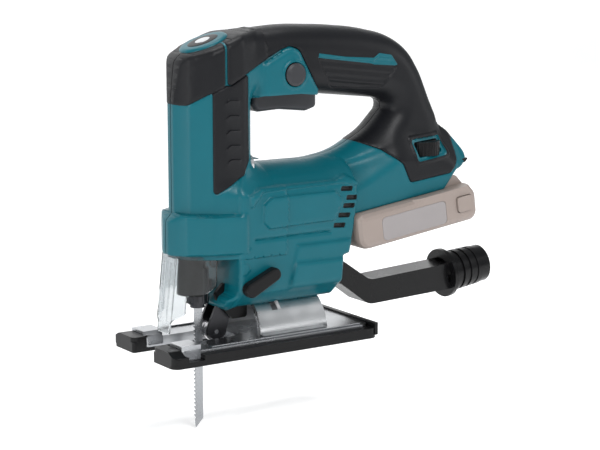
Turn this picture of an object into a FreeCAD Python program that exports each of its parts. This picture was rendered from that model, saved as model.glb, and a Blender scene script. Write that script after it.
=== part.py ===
import FreeCAD, Part
import math
import os

# D-handle cordless jigsaw, millimetres.
# Origin: centre of the underside of the sole.  +Z up, -X the cutting direction, +Y the tool's right side.

V = FreeCAD.Vector
X_DIR = V(1, 0, 0)
Y_DIR = V(0, 1, 0)
Z_DIR = V(0, 0, 1)
ORIGIN = V(0, 0, 0)

# ---- overall sizes -------------------------------------------------------------------------------
SOLE_FRONT = -75.5
SOLE_REAR = 75.5
SOLE_HALF = 38.5
WALL = 2.5
SKIN = 0.8
HANDLE_HALF = 17.0
HANDLE_ROUND = 9.0
NECK_ROUND = 5.0
PANEL_ROUND = 3.4
PANEL_HALF = 20.5
NECK_HALF = 24.0
BODY_HALF = 28.0
HEAD_BOTTOM = 66.0
SHOW_GAP = 0.35

# ---- drive train ---------------------------------------------------------------------------------
MODULE = 0.8
PRESSURE = math.radians(25)
PINION_TEETH = 12
GEAR_TEETH = 45
BACKLASH = 0.16
MOTOR_Z = 84.0
GEAR_Z = MOTOR_Z + MODULE * (PINION_TEETH + GEAR_TEETH) / 2
STROKE = 23.0
CRANK = STROKE / 2
REST_LIFT = 1.0
YOKE_Z = GEAR_Z - CRANK + REST_LIFT
PLUNGER_X = -36.5
ROD_R = 4.5
STATOR_R = 21.0
ROTOR_R = 12.2
SHAFT_R = 2.5
BEARING_R = 8.0
SWING_Z = 174.0
PIN_R = 3.0

# ---- base ----------------------------------------------------------------------------------------
TILT_Z = 10.0
SADDLE_R = 23.0
SADDLE_IN = 19.5
PLATE_TOP = 8.4
COVER_T = 2.2
NOTCH_HALF = 12.6
NOTCH_REAR = -15.0
ROLLER_X = -26.6
ROLLER_Z = 11.0
ROLLER_R = 6.3
HOLDER_X = -20.0
HOLDER_Z = 33.0

# ---- battery -------------------------------------------------------------------------------------
RAIL_TILT = math.radians(7.5)
RAIL_X = 62.0
RAIL_Z = 78.6
PACK_HALF = 31.0
PACK_TOP_HALF = 20.2
FOOT_CHANNEL = 20.8
FOOT_STEP = 46.0
FOOT_CEILING = 7.2
PACK_DEEP = 24.5

# ---- nozzle --------------------------------------------------------------------------------------
CUFF_TILT = 6.0
CUFF_X = 152.0
CUFF_Z = 25.8


def along(u, v):
    """A point of the battery rail's slanted frame: u to the rear, v up and square to the rail."""
    c = math.cos(RAIL_TILT)
    s = math.sin(RAIL_TILT)
    return (RAIL_X + u * c - v * s, RAIL_Z + u * s + v * c)


def tilted(points):
    """Rounded-corner points given in the battery rail's frame, turned into X and Z."""
    return [along(u, v) + (r,) for u, v, r in points]


# ---- primitives ----------------------------------------------------------------------------------
def box(x0, x1, y0, y1, z0, z1):
    return Part.makeBox(x1 - x0, y1 - y0, z1 - z0, V(x0, y0, z0))


def cyl_x(x0, x1, y, z, r):
    return Part.makeCylinder(r, x1 - x0, V(x0, y, z), X_DIR)


def cyl_y(y0, y1, x, z, r):
    return Part.makeCylinder(r, y1 - y0, V(x, y0, z), Y_DIR)


def cyl_z(z0, z1, x, y, r):
    return Part.makeCylinder(r, z1 - z0, V(x, y, z0), Z_DIR)


def ring_x(x0, x1, y, z, outer, inner):
    return cyl_x(x0, x1, y, z, outer).cut(cyl_x(x0 - 1, x1 + 1, y, z, inner))


def ring_z(z0, z1, x, y, outer, inner):
    return cyl_z(z0, z1, x, y, outer).cut(cyl_z(z0 - 1, z1 + 1, x, y, inner))


def fuse_all(shapes):
    """One solid from many."""
    first = shapes[0]
    if len(shapes) == 1:
        return first
    return first.multiFuse(shapes[1:])


def cut_all(shape, tools):
    return shape.cut(Part.makeCompound(tools))


def both_sides(shape):
    """A shape and its mirror image across the tool's middle plane."""
    return [shape, shape.mirror(ORIGIN, Y_DIR)]


def area(points):
    """Twice the signed area of a corner list."""
    total = 0.0
    for i, (a, b, _) in enumerate(points):
        c, d, _ = points[(i + 1) % len(points)]
        total += a * d - c * b
    return total


def inset(points, t):
    """The same corners with every side moved inward by t; corner radii follow."""
    if t == 0:
        return list(points)
    turn = 1.0 if area(points) > 0 else -1.0
    lines = []
    for i, (a, b, _) in enumerate(points):
        c, d, _ = points[(i + 1) % len(points)]
        length = math.hypot(c - a, d - b)
        nx = -(d - b) / length * turn
        nz = (c - a) / length * turn
        lines.append((a + nx * t, b + nz * t, c - a, d - b))
    out = []
    for i, (_, _, radius) in enumerate(points):
        ax, az, adx, adz = lines[i - 1]
        bx, bz, bdx, bdz = lines[i]
        cross = adx * bdz - adz * bdx
        if abs(cross) < 1e-6:
            out.append((bx, bz, 0))
            continue
        k = ((bx - ax) * bdz - (bz - az) * bdx) / cross
        convex = cross * turn > 0
        new_radius = radius - t if convex else radius + t
        if radius:
            new_radius = max(new_radius, 0.3)
        else:
            new_radius = 0
        out.append((ax + adx * k, az + adz * k, new_radius))
    return out


def outline(points, place):
    """A closed wire through the corners, each rounded to its radius; place maps (a, b) to a point."""
    count = len(points)
    arcs = []
    for i in range(count):
        px, pz, _ = points[i - 1]
        cx, cz, radius = points[i]
        nx, nz, _ = points[(i + 1) % count]
        ax, az = px - cx, pz - cz
        bx, bz = nx - cx, nz - cz
        la = math.hypot(ax, az)
        lb = math.hypot(bx, bz)
        cosine = max(-1.0, min(1.0, (ax * bx + az * bz) / (la * lb)))
        half = math.acos(cosine) / 2
        back = radius / math.tan(half) if radius > 0 and half < 1.565 else 0
        back = min(back, 0.48 * la, 0.48 * lb)
        if back < 0.02:
            arcs.append(((cx, cz), None, (cx, cz)))
            continue
        true_r = back * math.tan(half)
        start = (cx + ax / la * back, cz + az / la * back)
        end = (cx + bx / lb * back, cz + bz / lb * back)
        mx, mz = ax / la + bx / lb, az / la + bz / lb
        lm = math.hypot(mx, mz)
        reach = true_r / math.sin(half) - true_r
        arcs.append((start, (cx + mx / lm * reach, cz + mz / lm * reach), end))
    edges = []
    for i in range(count):
        start, middle, end = arcs[i]
        following = arcs[(i + 1) % count][0]
        if middle:
            edges.append(Part.Arc(place(*start), place(*middle), place(*end)).toShape())
        if math.hypot(following[0] - end[0], following[1] - end[1]) > 1e-4:
            edges.append(Part.makeLine(place(*end), place(*following)))
    return Part.Wire(edges)


def prism_xz(points, y0, y1):
    face = Part.Face(outline(points, lambda a, b: V(a, y0, b)))
    return face.extrude(V(0, y1 - y0, 0))


def prism_yz(points, x0, x1):
    face = Part.Face(outline(points, lambda a, b: V(x0, a, b)))
    return face.extrude(V(x1 - x0, 0, 0))


def prism_xy(points, z0, z1):
    face = Part.Face(outline(points, lambda a, b: V(a, b, z0)))
    return face.extrude(V(0, 0, z1 - z0))


def rail_box(u0, u1, y0, y1, v0, v1):
    """A box lying along the battery rail."""
    return prism_xz(tilted([(u0, v0, 0), (u1, v0, 0), (u1, v1, 0), (u0, v1, 0)]), y0, y1)


def slab_stack(points, half, rim, sign):
    """An XZ outline as thick as 2 * half, its rims rounded in three bevels.

    sign +1 makes the outline smaller towards the two outer faces, -1 makes it larger (for a flared hole).
    """
    steps = [(half - rim, 0.0), (half - 0.42 * rim, 0.16 * rim), (half - 0.12 * rim, 0.46 * rim), (half, 0.8 * rim)]
    pieces = [prism_xz(points, -steps[0][0], steps[0][0])]
    for (y0, t0), (y1, t1) in zip(steps, steps[1:]):
        for side in (-1, 1):
            near = outline(inset(points, sign * t0), lambda a, b: V(a, side * y0, b))
            far = outline(inset(points, sign * t1), lambda a, b: V(a, side * y1, b))
            pieces.append(Part.makeLoft([near, far], True, True))
    return fuse_all(pieces)


def mirrored(points):
    """A half outline given for negative Y, closed by its mirror image."""
    return list(points) + [(a, -b, r) for a, b, r in reversed(points)]


def mirrored_section(points):
    """A half section (y, z, r) given for negative Y, closed by its mirror image."""
    return list(points) + [(-a, b, r) for a, b, r in reversed(points)]


# ---- outlines of the shell -----------------------------------------------------------------------
LOOP = [
    (-20, 140, 0),
    (-20, 194.6, 0),
    (-8, 198.4, 40),
    (25, 200.4, 200),
    (56, 198.8, 200),
    (79, 196.4, 120),
    (103, 191.2, 60),
    (119, 181.4, 40),
    (129, 166, 60),
    (137, 148, 60),
    (145, 132, 40),
    (145, 112, 0),
    (60, 106, 0),
    (40, 106, 0),
    (-10, 106, 0),
    (-10, 140, 0),
]
HAND_HOLE = [
    (-2, 158, 4),
    (-2, 115, 9),
    (46, 114.5, 60),
    (66, 118, 60),
    (90, 130, 40),
    (105, 145, 8),
    (97, 149.8, 6),
    (49, 155.5, 60),
    (28, 158, 20),
]
HEAD_SIDE = [
    (-57, 84, 0),
    (-51.6, 181.5, 6),
    (-46.5, 185.2, 5),
    (-15.5, 196.4, 12),
    (3, 199, 3),
    (3, 152, 3),
    (-2, 148, 5),
    (-2, 110, 6),
    (12, 104, 3),
    (12, 84, 0),
]
HEAD_PLAN = [(-54, -3.5, 4), (-51.6, -8, 5), (-48.4, -13, 5), (-36, -21, 7), (-25, -22, 10), (14, -22, 0)]
LOW_PLAN = [(-54, -3.5, 4), (-51.6, -8, 5), (-48.4, -13, 5), (-36, -21, 7), (-18, -28, 8), (12, -28, 0)]
COLLAR_PLAN = [(-58.5, -4, 5), (-56, -10, 5), (-52.6, -15.6, 6), (-38, -25.2, 9), (-19, -32, 6)]
MOTOR_SIDE = [
    (-22, 38, 4),
    (-17, 25.5, 3),
    (52.6, 25.5, 3),
    (54.6, 36, 3),
    (56.6, 53.4, 2),
    (60, 56, 2),
    (66, 84, 12),
    (66, 113, 5),
    (30, 116.5, 4),
    (-22, 116.5, 0),
]
MOTOR_SECTION = [(-15, 25, 2), (-22.5, 33, 3), (-28, 39.5, 4), (-28, 101, 6), (-20, 110.5, 8), (-7, 115.5, 8)]
NECK_SIDE = (
    [
        (56, 114, 6),
        (74, 120.5, 10),
        (96, 129, 14),
        (114, 133, 12),
        (130, 134, 8),
        (143, 131.5, 8),
        (152, 125.5, 10),
        (161, 117, 10),
        (165.5, 110, 7),
        (163, 104, 4),
        (149, 100.5, 4),
    ]
    + tilted([(77.4, 0.8, 2), (-5.5, 0.8, 0)])
)
PANEL_SIDE = [(-12, 157, 4), (-12, 176, 7), (12, 187.5, 7), (29, 188, 6), (46, 157.5, 5)]

SCREWS = [(-10, 186), (60, 178), (116, 166), (152, 118), (56, 108), (-11, 58), (48, 56)]
LOCK_X = 23.3
LOCK_Z = 170.3
LOCK_R = 7.1
DIAL_X = 128.0
DIAL_Y = -14.0
DIAL_Z = 116.0
DIAL_R = 11.0
SELECT_X = -9.0
SELECT_Z = 45.0
TRIGGER_X = 3.0
TRIGGER_Z = 165.0
BOLT_X = 10.0
VENTS = [(59, 97), (62.5, 91), (60, 85), (56.5, 79), (53, 73)]


def handle_loop(t):
    """The D-shaped handle ring around the hand hole."""
    ring = slab_stack(inset(LOOP, t), HANDLE_HALF - t, HANDLE_ROUND - t, 1)
    return ring.cut(slab_stack(inset(HAND_HOLE, -t), HANDLE_HALF - t, HANDLE_ROUND - t, -1))


def head(t):
    """The upright front column: a blunt nose in plan, cut to the side outline."""
    side = prism_xz(inset(HEAD_SIDE, t), -40, 40)
    upper = prism_xy(inset(mirrored(HEAD_PLAN), t), 80, 210).common(side)
    low = prism_xy(inset(mirrored(LOW_PLAN), t), HEAD_BOTTOM, 104 - t)
    return [upper, low]


def motor_body(t):
    """The lower body around the motor, eight-sided in section."""
    side = prism_xz(inset(MOTOR_SIDE, t), -40, 40)
    return prism_yz(inset(mirrored_section(MOTOR_SECTION), t), -60, 90).common(side)


def neck(t):
    """The rear neck and battery foot."""
    return slab_stack(inset(NECK_SIDE, t), NECK_HALF - t, NECK_ROUND - t, 1)


def trigger_panel(t):
    """The thicker cheeks at the trigger."""
    return slab_stack(inset(PANEL_SIDE, t), PANEL_HALF - t, PANEL_ROUND - t, 1)


def bulk(t):
    """The whole body as one solid, every outer wall moved inward by t."""
    return fuse_all([handle_loop(t)] + head(t) + [motor_body(t), neck(t), trigger_panel(t)])


# ---- the two shell halves ------------------------------------------------------------------------
def body_openings():
    """Everything that is cut out of both shell halves."""
    tools = [
        cyl_x(-30, 75, 0, TILT_Z, SADDLE_R + SHOW_GAP),
        box(-48.4, -24, -13, 13, HEAD_BOTTOM - 1, HEAD_BOTTOM + 5),
        box(-24, -5.4, -9.8, 9.8, 16, 42),
        box(-26, -15, -6, 6, 50, 60),
        box(-1, 50, -9.3, 9.3, 150, 163),
        cyl_y(-26, -10, LOCK_X, LOCK_Z, LOCK_R + SHOW_GAP),
        box(DIAL_X - 9.5, DIAL_X + 9.5, -27, -20, DIAL_Z - 5, DIAL_Z + 5),
        cyl_y(-30, -20, SELECT_X, SELECT_Z, 3.35),
        cyl_z(20, 45, BOLT_X, 0, 2.8),
        box(44, 75, -10.4, 10.4, 36.6, 46.9),
        rail_box(40, 130, -16.1, 16.1, 5, 14.4),
        rail_box(FOOT_STEP, 130, -FOOT_CHANNEL, FOOT_CHANNEL, -3, FOOT_CEILING),
    ]
    for x, z in VENTS:
        tools.append(box(x - 5, x + 3.5, -40, -24, z - 1.7, z + 1.7))
        tools.append(box(x - 5, x + 3.5, 24, 40, z - 1.7, z + 1.7))
    return tools


def foot_walls():
    """The ceiling and the front wall of the channel that takes the top of the battery."""
    ceiling = rail_box(FOOT_STEP - 2, 130, -24, 24, FOOT_CEILING, FOOT_CEILING + 2.2)
    front = rail_box(FOOT_STEP - 2, FOOT_STEP, -24, 24, 0.8, FOOT_CEILING + 2.2)
    return [ceiling, front]


def screw_bosses():
    """Solid posts inside the shell for the assembly screws and the fixed pins."""
    posts = [cyl_y(-30, 30, x, z, 4.6) for x, z in SCREWS]
    posts += both_sides(cyl_y(-21, -11, PLUNGER_X, SWING_Z, 5.5))
    posts += both_sides(cyl_y(-16, -9.6, TRIGGER_X, TRIGGER_Z, 4.0))
    return posts


def screw_holes():
    """Bores for the screws: blind in the left half, stepped and recessed in the right half."""
    tools = []
    for x, z in SCREWS:
        tools.append(cyl_y(-10, 8.5, x, z, 1.56))
        tools.append(cyl_y(8, 40, x, z, 3.1))
    tools.append(cyl_y(-15.1, 15.1, PLUNGER_X, SWING_Z, PIN_R + 0.02))
    tools.append(cyl_y(-13.1, 13.1, TRIGGER_X, TRIGGER_Z, 1.82))
    return tools


def shell_halves(outer, inner):
    """The clamshell: outer bulk less the cavity, split on the middle plane."""
    saddle_wall = cyl_x(-40, 90, 0, TILT_Z, SADDLE_R + SHOW_GAP + WALL)
    cavity = inner.cut(saddle_wall)
    shell = outer.cut(cavity)
    posts = fuse_all([outer.common(p) for p in screw_bosses() + foot_walls()])
    shell = shell.fuse(posts)
    shell = cut_all(shell, body_openings() + screw_holes())
    left = shell.common(box(-200, 300, -60, 0, -60, 300))
    right = shell.common(box(-200, 300, 0, 60, -60, 300))
    return main_solid(left), main_solid(right)


def main_solid(shape):
    """The largest solid of a shape; crumbs left by a cut are dropped."""
    return max(shape.Solids, key=lambda s: s.Volume)


def big_solids(shape, least):
    """Every solid of a shape above a least volume."""
    found = [s for s in shape.Solids if s.Volume > least]
    return found[0] if len(found) == 1 else Part.makeCompound(found)


# ---- moulded skins on the shell ------------------------------------------------------------------
GRIP_FRONT = [
    (-36.4, 160.4, 1),
    (-36.4, 100, 4),
    (-15, 111.4, 3),
    (-9, 119, 4),
    (-9, 172.4, 2),
    (-25.2, 166, 2),
    (-27.6, 163.8, 1),
]
GRIP_HANDLE = [
    (-27, 205, 0),
    (-26.5, 168, 3),
    (-11, 174, 5),
    (15, 186.8, 6),
    (22, 188.8, 4),
    (29, 187, 4),
    (46.5, 156, 4),
    (48, 140, 0),
    (56, 121.5, 2),
    (67, 126.5, 8),
    (77, 124, 8),
    (92, 118, 6),
    (105, 108.5, 6),
    (110.6, 95.2, 3),
    (143.5, 98.8, 4),
    (151, 107, 6),
    (155, 118, 6),
    (159, 133, 0),
    (176, 140, 0),
    (176, 205, 0),
]
PAD_FRONT = [(-70, 157, 0), (-50, 154.7, 1), (-38.2, 161.3, 3), (-27.9, 165.3, 3), (-28, 205, 0), (-70, 205, 0)]


def side_skin(skin, points, near, middle):
    """The part of the skin inside a side outline, on one side of the tool, from middle outwards."""
    ends = (-45, -middle) if near else (middle, 45)
    piece = skin.common(prism_xz(points, ends[0], ends[1]))
    return big_solids(piece, 5)


def grips(skin, near):
    sign = -1 if near else 1
    ribs = []
    for z in (104, 116, 128, 140, 152, 164):
        ribs.append(box(-33, -13, min(sign * 22.6, sign * 24), max(sign * 22.6, sign * 24), z, z + 1.2))
    front = cut_all(side_skin(skin, GRIP_FRONT, near, 6), ribs)
    handle = side_skin(skin, GRIP_HANDLE, near, 0)
    return front, handle


def lamp_cap():
    """The round cap on the head with a plain disc set in it."""
    plan = [(-45.4, -7, 7), (-38, -14.6, 9), (-23, -14.6, 9), (-15.6, -7, 7)]
    return prism_xy(mirrored(plan), 176, 204)


# ---- fixed inner pieces --------------------------------------------------------------------------
def housing_screws():
    screws = []
    for x, z in SCREWS:
        shank = cyl_y(-9.5, 8.1, x, z, 1.5)
        head_top = cyl_y(8.1, 10.4, x, z, 2.9)
        socket = cyl_y(9.2, 10.5, x, z, 1.2)
        screws.append(shank.fuse(head_top).cut(socket))
    return Part.makeCompound(screws)


def gear_plate():
    plate = prism_yz([(-17, 72, 5), (17, 72, 5), (17, 122, 6), (-17, 122, 6)], -8.2, -4.8)
    holes = [
        cyl_x(-9, -3, 0, MOTOR_Z, BEARING_R + 0.01),
        cyl_x(-9, -3, 0, GEAR_Z, PIN_R),
    ]
    for y in (-13, 13):
        for z in (77, 117):
            holes.append(cyl_x(-9, -3, y, z, 1.7))
    return cut_all(plate, holes)


def gear_axle():
    axle = cyl_x(-20.6, -4.8, 0, GEAR_Z, PIN_R)
    groove = ring_x(-19.7, -18.7, 0, GEAR_Z, 4, 2.6)
    return axle.cut(groove)


def axle_clip():
    clip = ring_x(-19.6, -18.8, 0, GEAR_Z, 5, 2.65)
    return clip.cut(box(-20, -18, -1.2, 1.2, GEAR_Z, GEAR_Z + 6))


def bearings():
    rings = []
    for x in (-8.0, 52.5):
        outer = ring_x(x, x + 5, 0, MOTOR_Z, BEARING_R, 5.9)
        inner = ring_x(x, x + 5, 0, MOTOR_Z, 4.2, SHAFT_R + 0.04)
        shield = ring_x(x + 1.2, x + 3.8, 0, MOTOR_Z, 6.0, 4.1)
        rings.append(fuse_all([outer, inner, shield]))
    return Part.makeCompound(rings)


def stator():
    core = ring_x(9, 37, 0, MOTOR_Z, STATOR_R, ROTOR_R + 0.4)
    slots = []
    for k in range(6):
        a = math.radians(60 * k + 30)
        slots.append(cyl_x(8, 38, 15.6 * math.sin(a), MOTOR_Z + 15.6 * math.cos(a), 2.1))
    return cut_all(core, slots)


def coils():
    loops = []
    for k in range(6):
        a = math.radians(60 * k + 30)
        y = 15.6 * math.sin(a)
        z = MOTOR_Z + 15.6 * math.cos(a)
        rod = cyl_x(6, 40, y, z, 2.0)
        front = Part.makeSphere(2.6, V(6.5, y, z))
        back = Part.makeSphere(2.6, V(39.5, y, z))
        loops.append(fuse_all([rod, front, back]).common(box(5, 41, -30, 30, 40, 120)))
    clear = cyl_x(0, 60, 0, MOTOR_Z, ROTOR_R + 0.6)
    steel = stator()
    return Part.makeCompound([s.cut(clear).cut(steel) for s in loops])


def motor_bracket():
    """The rear plate that holds the far bearing, on three arms from the stator."""
    hub = ring_x(52.5, 57.5, 0, MOTOR_Z, 10.5, BEARING_R + 0.01)
    disc = ring_x(57.5, 59.5, 0, MOTOR_Z, 10.5, 4)
    arms = []
    for k in range(3):
        a = 120 * k + 60
        arm = box(38, 58, -2.5, 2.5, MOTOR_Z + 18.2, MOTOR_Z + 20.4)
        web = box(54, 57.5, -2.5, 2.5, MOTOR_Z + 9.5, MOTOR_Z + 19)
        piece = arm.fuse(web)
        piece.rotate(V(0, 0, MOTOR_Z), X_DIR, a)
        arms.append(piece)
    return fuse_all([hub, disc] + arms)


def sensor_board():
    board = ring_x(42.4, 43.6, 0, MOTOR_Z, 16.5, 7)
    chips = [box(43.6, 45, -2, 2, MOTOR_Z + 9, MOTOR_Z + 13)]
    return fuse_all([board] + chips)


def switch_unit():
    case = box(14, 44, -7.5, 7.5, 172, 188)
    button = cyl_z(169.6, 172, 38, 0, 2.2)
    stem = box(12, 14, -3, 3, 176, 182)
    return fuse_all([case, button, stem])


def control_board():
    board = box(70, 104, -17, 17, 99, 100.6)
    chips = [box(x, x + 5, -6 + dy, dy, 100.6, 103) for x in (74, 82, 90) for dy in (0, 10)]
    can = cyl_z(100.6, 110, 98, -10, 4)
    return fuse_all([board, can] + chips)


def rail_receiver(outer):
    block = rail_box(46, 120, -16, 16, 7.2, 14.2).common(outer)
    tools = [rail_box(40, 130, -9.35, 9.35, 6, 9), rail_box(40, 130, -12.35, 12.35, 8.7, 12.35)]
    return main_solid(cut_all(block, tools))


def contact_block():
    """The contacts: a small block with three blades that reach into the battery's slots."""
    block = rail_box(40.5, 45.8, -13, 13, 8.6, 14.2)
    blades = [rail_box(45, 60, y - 0.4, y + 0.4, 9.7, 11.4) for y in (-6, 0, 6)]
    return fuse_all([block] + blades)


def guide_pin():
    return cyl_y(-15, 15, PLUNGER_X, SWING_Z, PIN_R)


def trigger_pin():
    return cyl_y(-13, 13, TRIGGER_X, TRIGGER_Z, 1.8)


def bevel_bolt():
    """The clamp bolt from below, through the curved slot, with its washer face and a nut above."""
    shank = cyl_z(25, 40, BOLT_X, 0, 2.6)
    cap = cyl_z(22.5, 27, BOLT_X, 0, 5)
    socket = cyl_z(21, 24.5, BOLT_X, 0, 1.9)
    nut = box(BOLT_X - 4, BOLT_X + 4, -4, 4, 36.2, 38.8)
    return fuse_all([shank, cap, nut]).cut(socket)


def dust_channel():
    tube = box(-12, 46.5, -9, 9, 40.4, 47.4)
    return tube.cut(box(-13, 48, -7.6, 7.6, 41.6, 46.2))


def lamp():
    lens = cyl_x(-24.5, -19, 0, 54, 3.4)
    dome = Part.makeSphere(3.4, V(-24.5, 0, 54)).common(box(-26.4, -24.5, -4, 4, 50, 60))
    board = box(-19, -17.6, -8, 8, 50.5, 59.5)
    return fuse_all([lens, dome]), board


def collar():
    """The flared skirt round the bottom of the head."""
    plan = mirrored(COLLAR_PLAN)
    skirt = prism_xy(plan, 62.5, 84).common(box(-70, -20.5, -40, 40, 60, 90))
    skirt = skirt.cut(prism_xy(mirrored(LOW_PLAN), 60, 90))
    notch = box(-61, -53, -3, 3, 62, 65)
    motor_front = prism_yz(mirrored_section(MOTOR_SECTION), -22, 60)
    return main_solid(skirt.cut(notch).cut(motor_front))


def cover_plan(z):
    """The clear shield's outline at one height."""
    front = -56.2 - 0.11 * (62 - z)
    return [(front, -9.6, 3), (-45.5, -16.8, 4), (-31, -18.4, 0), (-31, 18.4, 0), (-45.5, 16.8, 4), (front, 9.6, 3)]


def shield_solid(grow):
    """The shield's outer form, or its inside when grow is negative."""
    wires = []
    for z in (14, 62.3):
        plan = inset(cover_plan(z), -grow)
        wires.append(outline(plan, lambda a, b, z=z: V(a, b, z)))
    return Part.makeLoft(wires, True, True)


def dust_cover():
    """The clear shield: a front wall with two ribs and two short side wings."""
    shell = shield_solid(0).cut(shield_solid(-1.5))
    side_view = [
        (-66, 14, 0),
        (-53.6, 14, 2),
        (-51.6, 38, 2),
        (-40, 38.5, 3),
        (-34, 42, 5),
        (-32.8, 50, 5),
        (-32.8, 62.3, 0),
        (-66, 62.3, 0),
    ]
    shell = shell.common(prism_xz(side_view, -30, 30))
    front_view = mirrored_section([(-6.6, 13, 1), (-7.0, 20.6, 3), (-14, 28, 4), (-20, 36, 0), (-20, 63, 0)])
    shell = shell.common(prism_yz(front_view, -70, -20))
    ribs = []
    for y in (-4.2, 3.2):
        ribs.append(box(-66, -52, y, y + 1, 20, 58).common(shield_solid(0.7)).cut(shield_solid(-0.2)))
    return main_solid(fuse_all([shell] + ribs))


def rating_plate():
    return box(8, 44, 28.02, 28.6, 78, 94)


# ---- trigger group -------------------------------------------------------------------------------
def trigger():
    side = [
        (0, 168, 3),
        (-0.4, 152, 4),
        (3, 146.8, 4),
        (20, 147.5, 20),
        (40, 145.2, 5),
        (47.5, 147.5, 3),
        (47.5, 162.5, 2),
        (8, 168, 4),
    ]
    body = slab_stack(side, 8.7, 3, 1)
    return body.cut(cyl_y(-10, 10, TRIGGER_X, TRIGGER_Z, 1.86))


def lock_button():
    body = cyl_y(-21.6, -12.2, LOCK_X, LOCK_Z, LOCK_R)
    crown = Part.makeCone(LOCK_R, LOCK_R - 1.6, 0.8, V(LOCK_X, -21.6, LOCK_Z), V(0, -1, 0))
    flange = cyl_y(-14.5, -13, LOCK_X, LOCK_Z, 8.6)
    return fuse_all([body, crown, flange])


def speed_dial():
    wheel = cyl_z(DIAL_Z - 4.6, DIAL_Z + 4.6, DIAL_X, DIAL_Y, DIAL_R)
    cuts = []
    for k in range(30):
        a = math.radians(12 * k)
        x = DIAL_X + (DIAL_R + 0.2) * math.cos(a)
        y = DIAL_Y + (DIAL_R + 0.2) * math.sin(a)
        cuts.append(cyl_z(DIAL_Z - 5, DIAL_Z + 5, x, y, 0.6))
    hub = cyl_z(DIAL_Z - 6.5, DIAL_Z + 4.6, DIAL_X, DIAL_Y, 3)
    return cut_all(wheel, cuts).fuse(hub)


def selector():
    """The orbit lever on the left side and its short shaft."""
    bar = slab_stack([(-13.5, -5, 4.5), (13.5, -4, 3.8), (13.5, 4, 3.8), (-13.5, 5, 4.5)], 3.4, 1.6, 1)
    bar.rotate(ORIGIN, Y_DIR, -26)
    bar.translate(V(SELECT_X, -BODY_HALF - 3.4 - 0.4, SELECT_Z))
    shaft = cyl_y(-30, -14, SELECT_X, SELECT_Z, 3)
    cam = cyl_y(-17, -14, SELECT_X + 1.5, SELECT_Z, 4.6)
    return fuse_all([bar, shaft, cam])


# ---- motor and gears -----------------------------------------------------------------------------
def gear_points(teeth, first_angle):
    """The toothed outline in (y, z): involute flanks, thinned for backlash."""
    pitch_r = MODULE * teeth / 2
    base_r = pitch_r * math.cos(PRESSURE)
    top_r = pitch_r + 0.9 * MODULE
    root_r = pitch_r - 1.2 * MODULE
    involute = math.tan(PRESSURE) - PRESSURE
    half = (math.pi * MODULE / 2 - BACKLASH) / (2 * pitch_r) + involute
    start_r = max(base_r, root_r + 0.05)
    flank = []
    for k in range(5):
        r = start_r + (top_r - start_r) * k / 4
        roll = math.acos(min(1.0, base_r / r))
        flank.append((r, half - (math.tan(roll) - roll)))
    points = []
    for n in range(teeth):
        middle = first_angle + 2 * math.pi * n / teeth
        points.append((root_r, middle - flank[0][1] - 0.01))
        for r, a in flank:
            points.append((r, middle - a))
        for r, a in reversed(flank):
            points.append((r, middle + a))
        points.append((root_r, middle + flank[0][1] + 0.01))
    return points


def gear_solid(teeth, first_angle, x0, x1, z):
    corners = [V(x0, r * math.cos(a), z + r * math.sin(a)) for r, a in gear_points(teeth, first_angle)]
    face = Part.Face(Part.makePolygon(corners + [corners[0]]))
    return face.extrude(V(x1 - x0, 0, 0))


def rotor_parts():
    core = ring_x(9, 37, 0, MOTOR_Z, ROTOR_R, SHAFT_R)
    slots = []
    for k in range(4):
        slot = box(8, 38, -4.5, 4.5, MOTOR_Z + 8.4, MOTOR_Z + 10.2)
        slot.rotate(V(0, 0, MOTOR_Z), X_DIR, 90 * k)
        slots.append(slot)
    core = cut_all(core, slots)
    shaft = cyl_x(-9, 57.3, 0, MOTOR_Z, SHAFT_R)
    pinion = gear_solid(PINION_TEETH, math.pi / 2, -18.4, -9, MOTOR_Z)
    hub = ring_x(46, 51.6, 0, MOTOR_Z, 5, SHAFT_R)
    disc = ring_x(46, 47.4, 0, MOTOR_Z, 16.6, 4)
    blades = []
    for k in range(15):
        blade = box(46.5, 51.2, -0.5, 0.5, MOTOR_Z + 7, MOTOR_Z + 16.4)
        blade.rotate(V(0, 0, MOTOR_Z), X_DIR, 24 * k)
        blades.append(blade)
    return core, shaft.fuse(pinion), fuse_all([hub, disc] + blades)


def drive_gear():
    """The large gear; a tooth gap faces the pinion at rest."""
    first = -math.pi / 2 + math.pi / GEAR_TEETH
    wheel = gear_solid(GEAR_TEETH, first, -18, -10, GEAR_Z)
    dish = ring_x(-18.5, -16, 0, GEAR_Z, 8.2, 5.8)
    hub = cyl_x(-10, -8.6, 0, GEAR_Z, 6)
    bore = cyl_x(-19, -8, 0, GEAR_Z, PIN_R + 0.05)
    pin_y = math.sqrt(CRANK ** 2 - (CRANK - REST_LIFT) ** 2)
    pocket = cyl_x(-18.5, -12, pin_y, YOKE_Z, 2.5)
    pin = cyl_x(-23.4, -12, pin_y, YOKE_Z, 2.5)
    return cut_all(wheel.fuse(hub), [dish, bore, pocket]), pin


# ---- plunger group -------------------------------------------------------------------------------
def guide_frame():
    plan = mirrored([(-44.5, -5.2, 0), (-42.8, -8, 0), (-29.5, -8, 0)])
    lower = prism_xy(plan, 83, 88.5)
    upper = prism_xy(plan, 128, 148)
    face = prism_xy(mirrored([(-44.5, -5.2, 0), (-42.8, -8, 0), (-42, -8, 0)]), 83, 150)
    ears = []
    for y0, y1 in ((-8, -5.2), (5.2, 8)):
        ears.append(prism_xz([(-44.5, 146, 0), (-44.5, 180, 6), (-29.5, 180, 6), (-29.5, 146, 0)], y0, y1))
    bores = [
        cyl_z(80, 150, PLUNGER_X, 0, 6.5),
        cyl_y(-12, 12, PLUNGER_X, SWING_Z, PIN_R + 0.05),
    ]
    return cut_all(fuse_all([lower, upper, face] + ears), bores)


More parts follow.
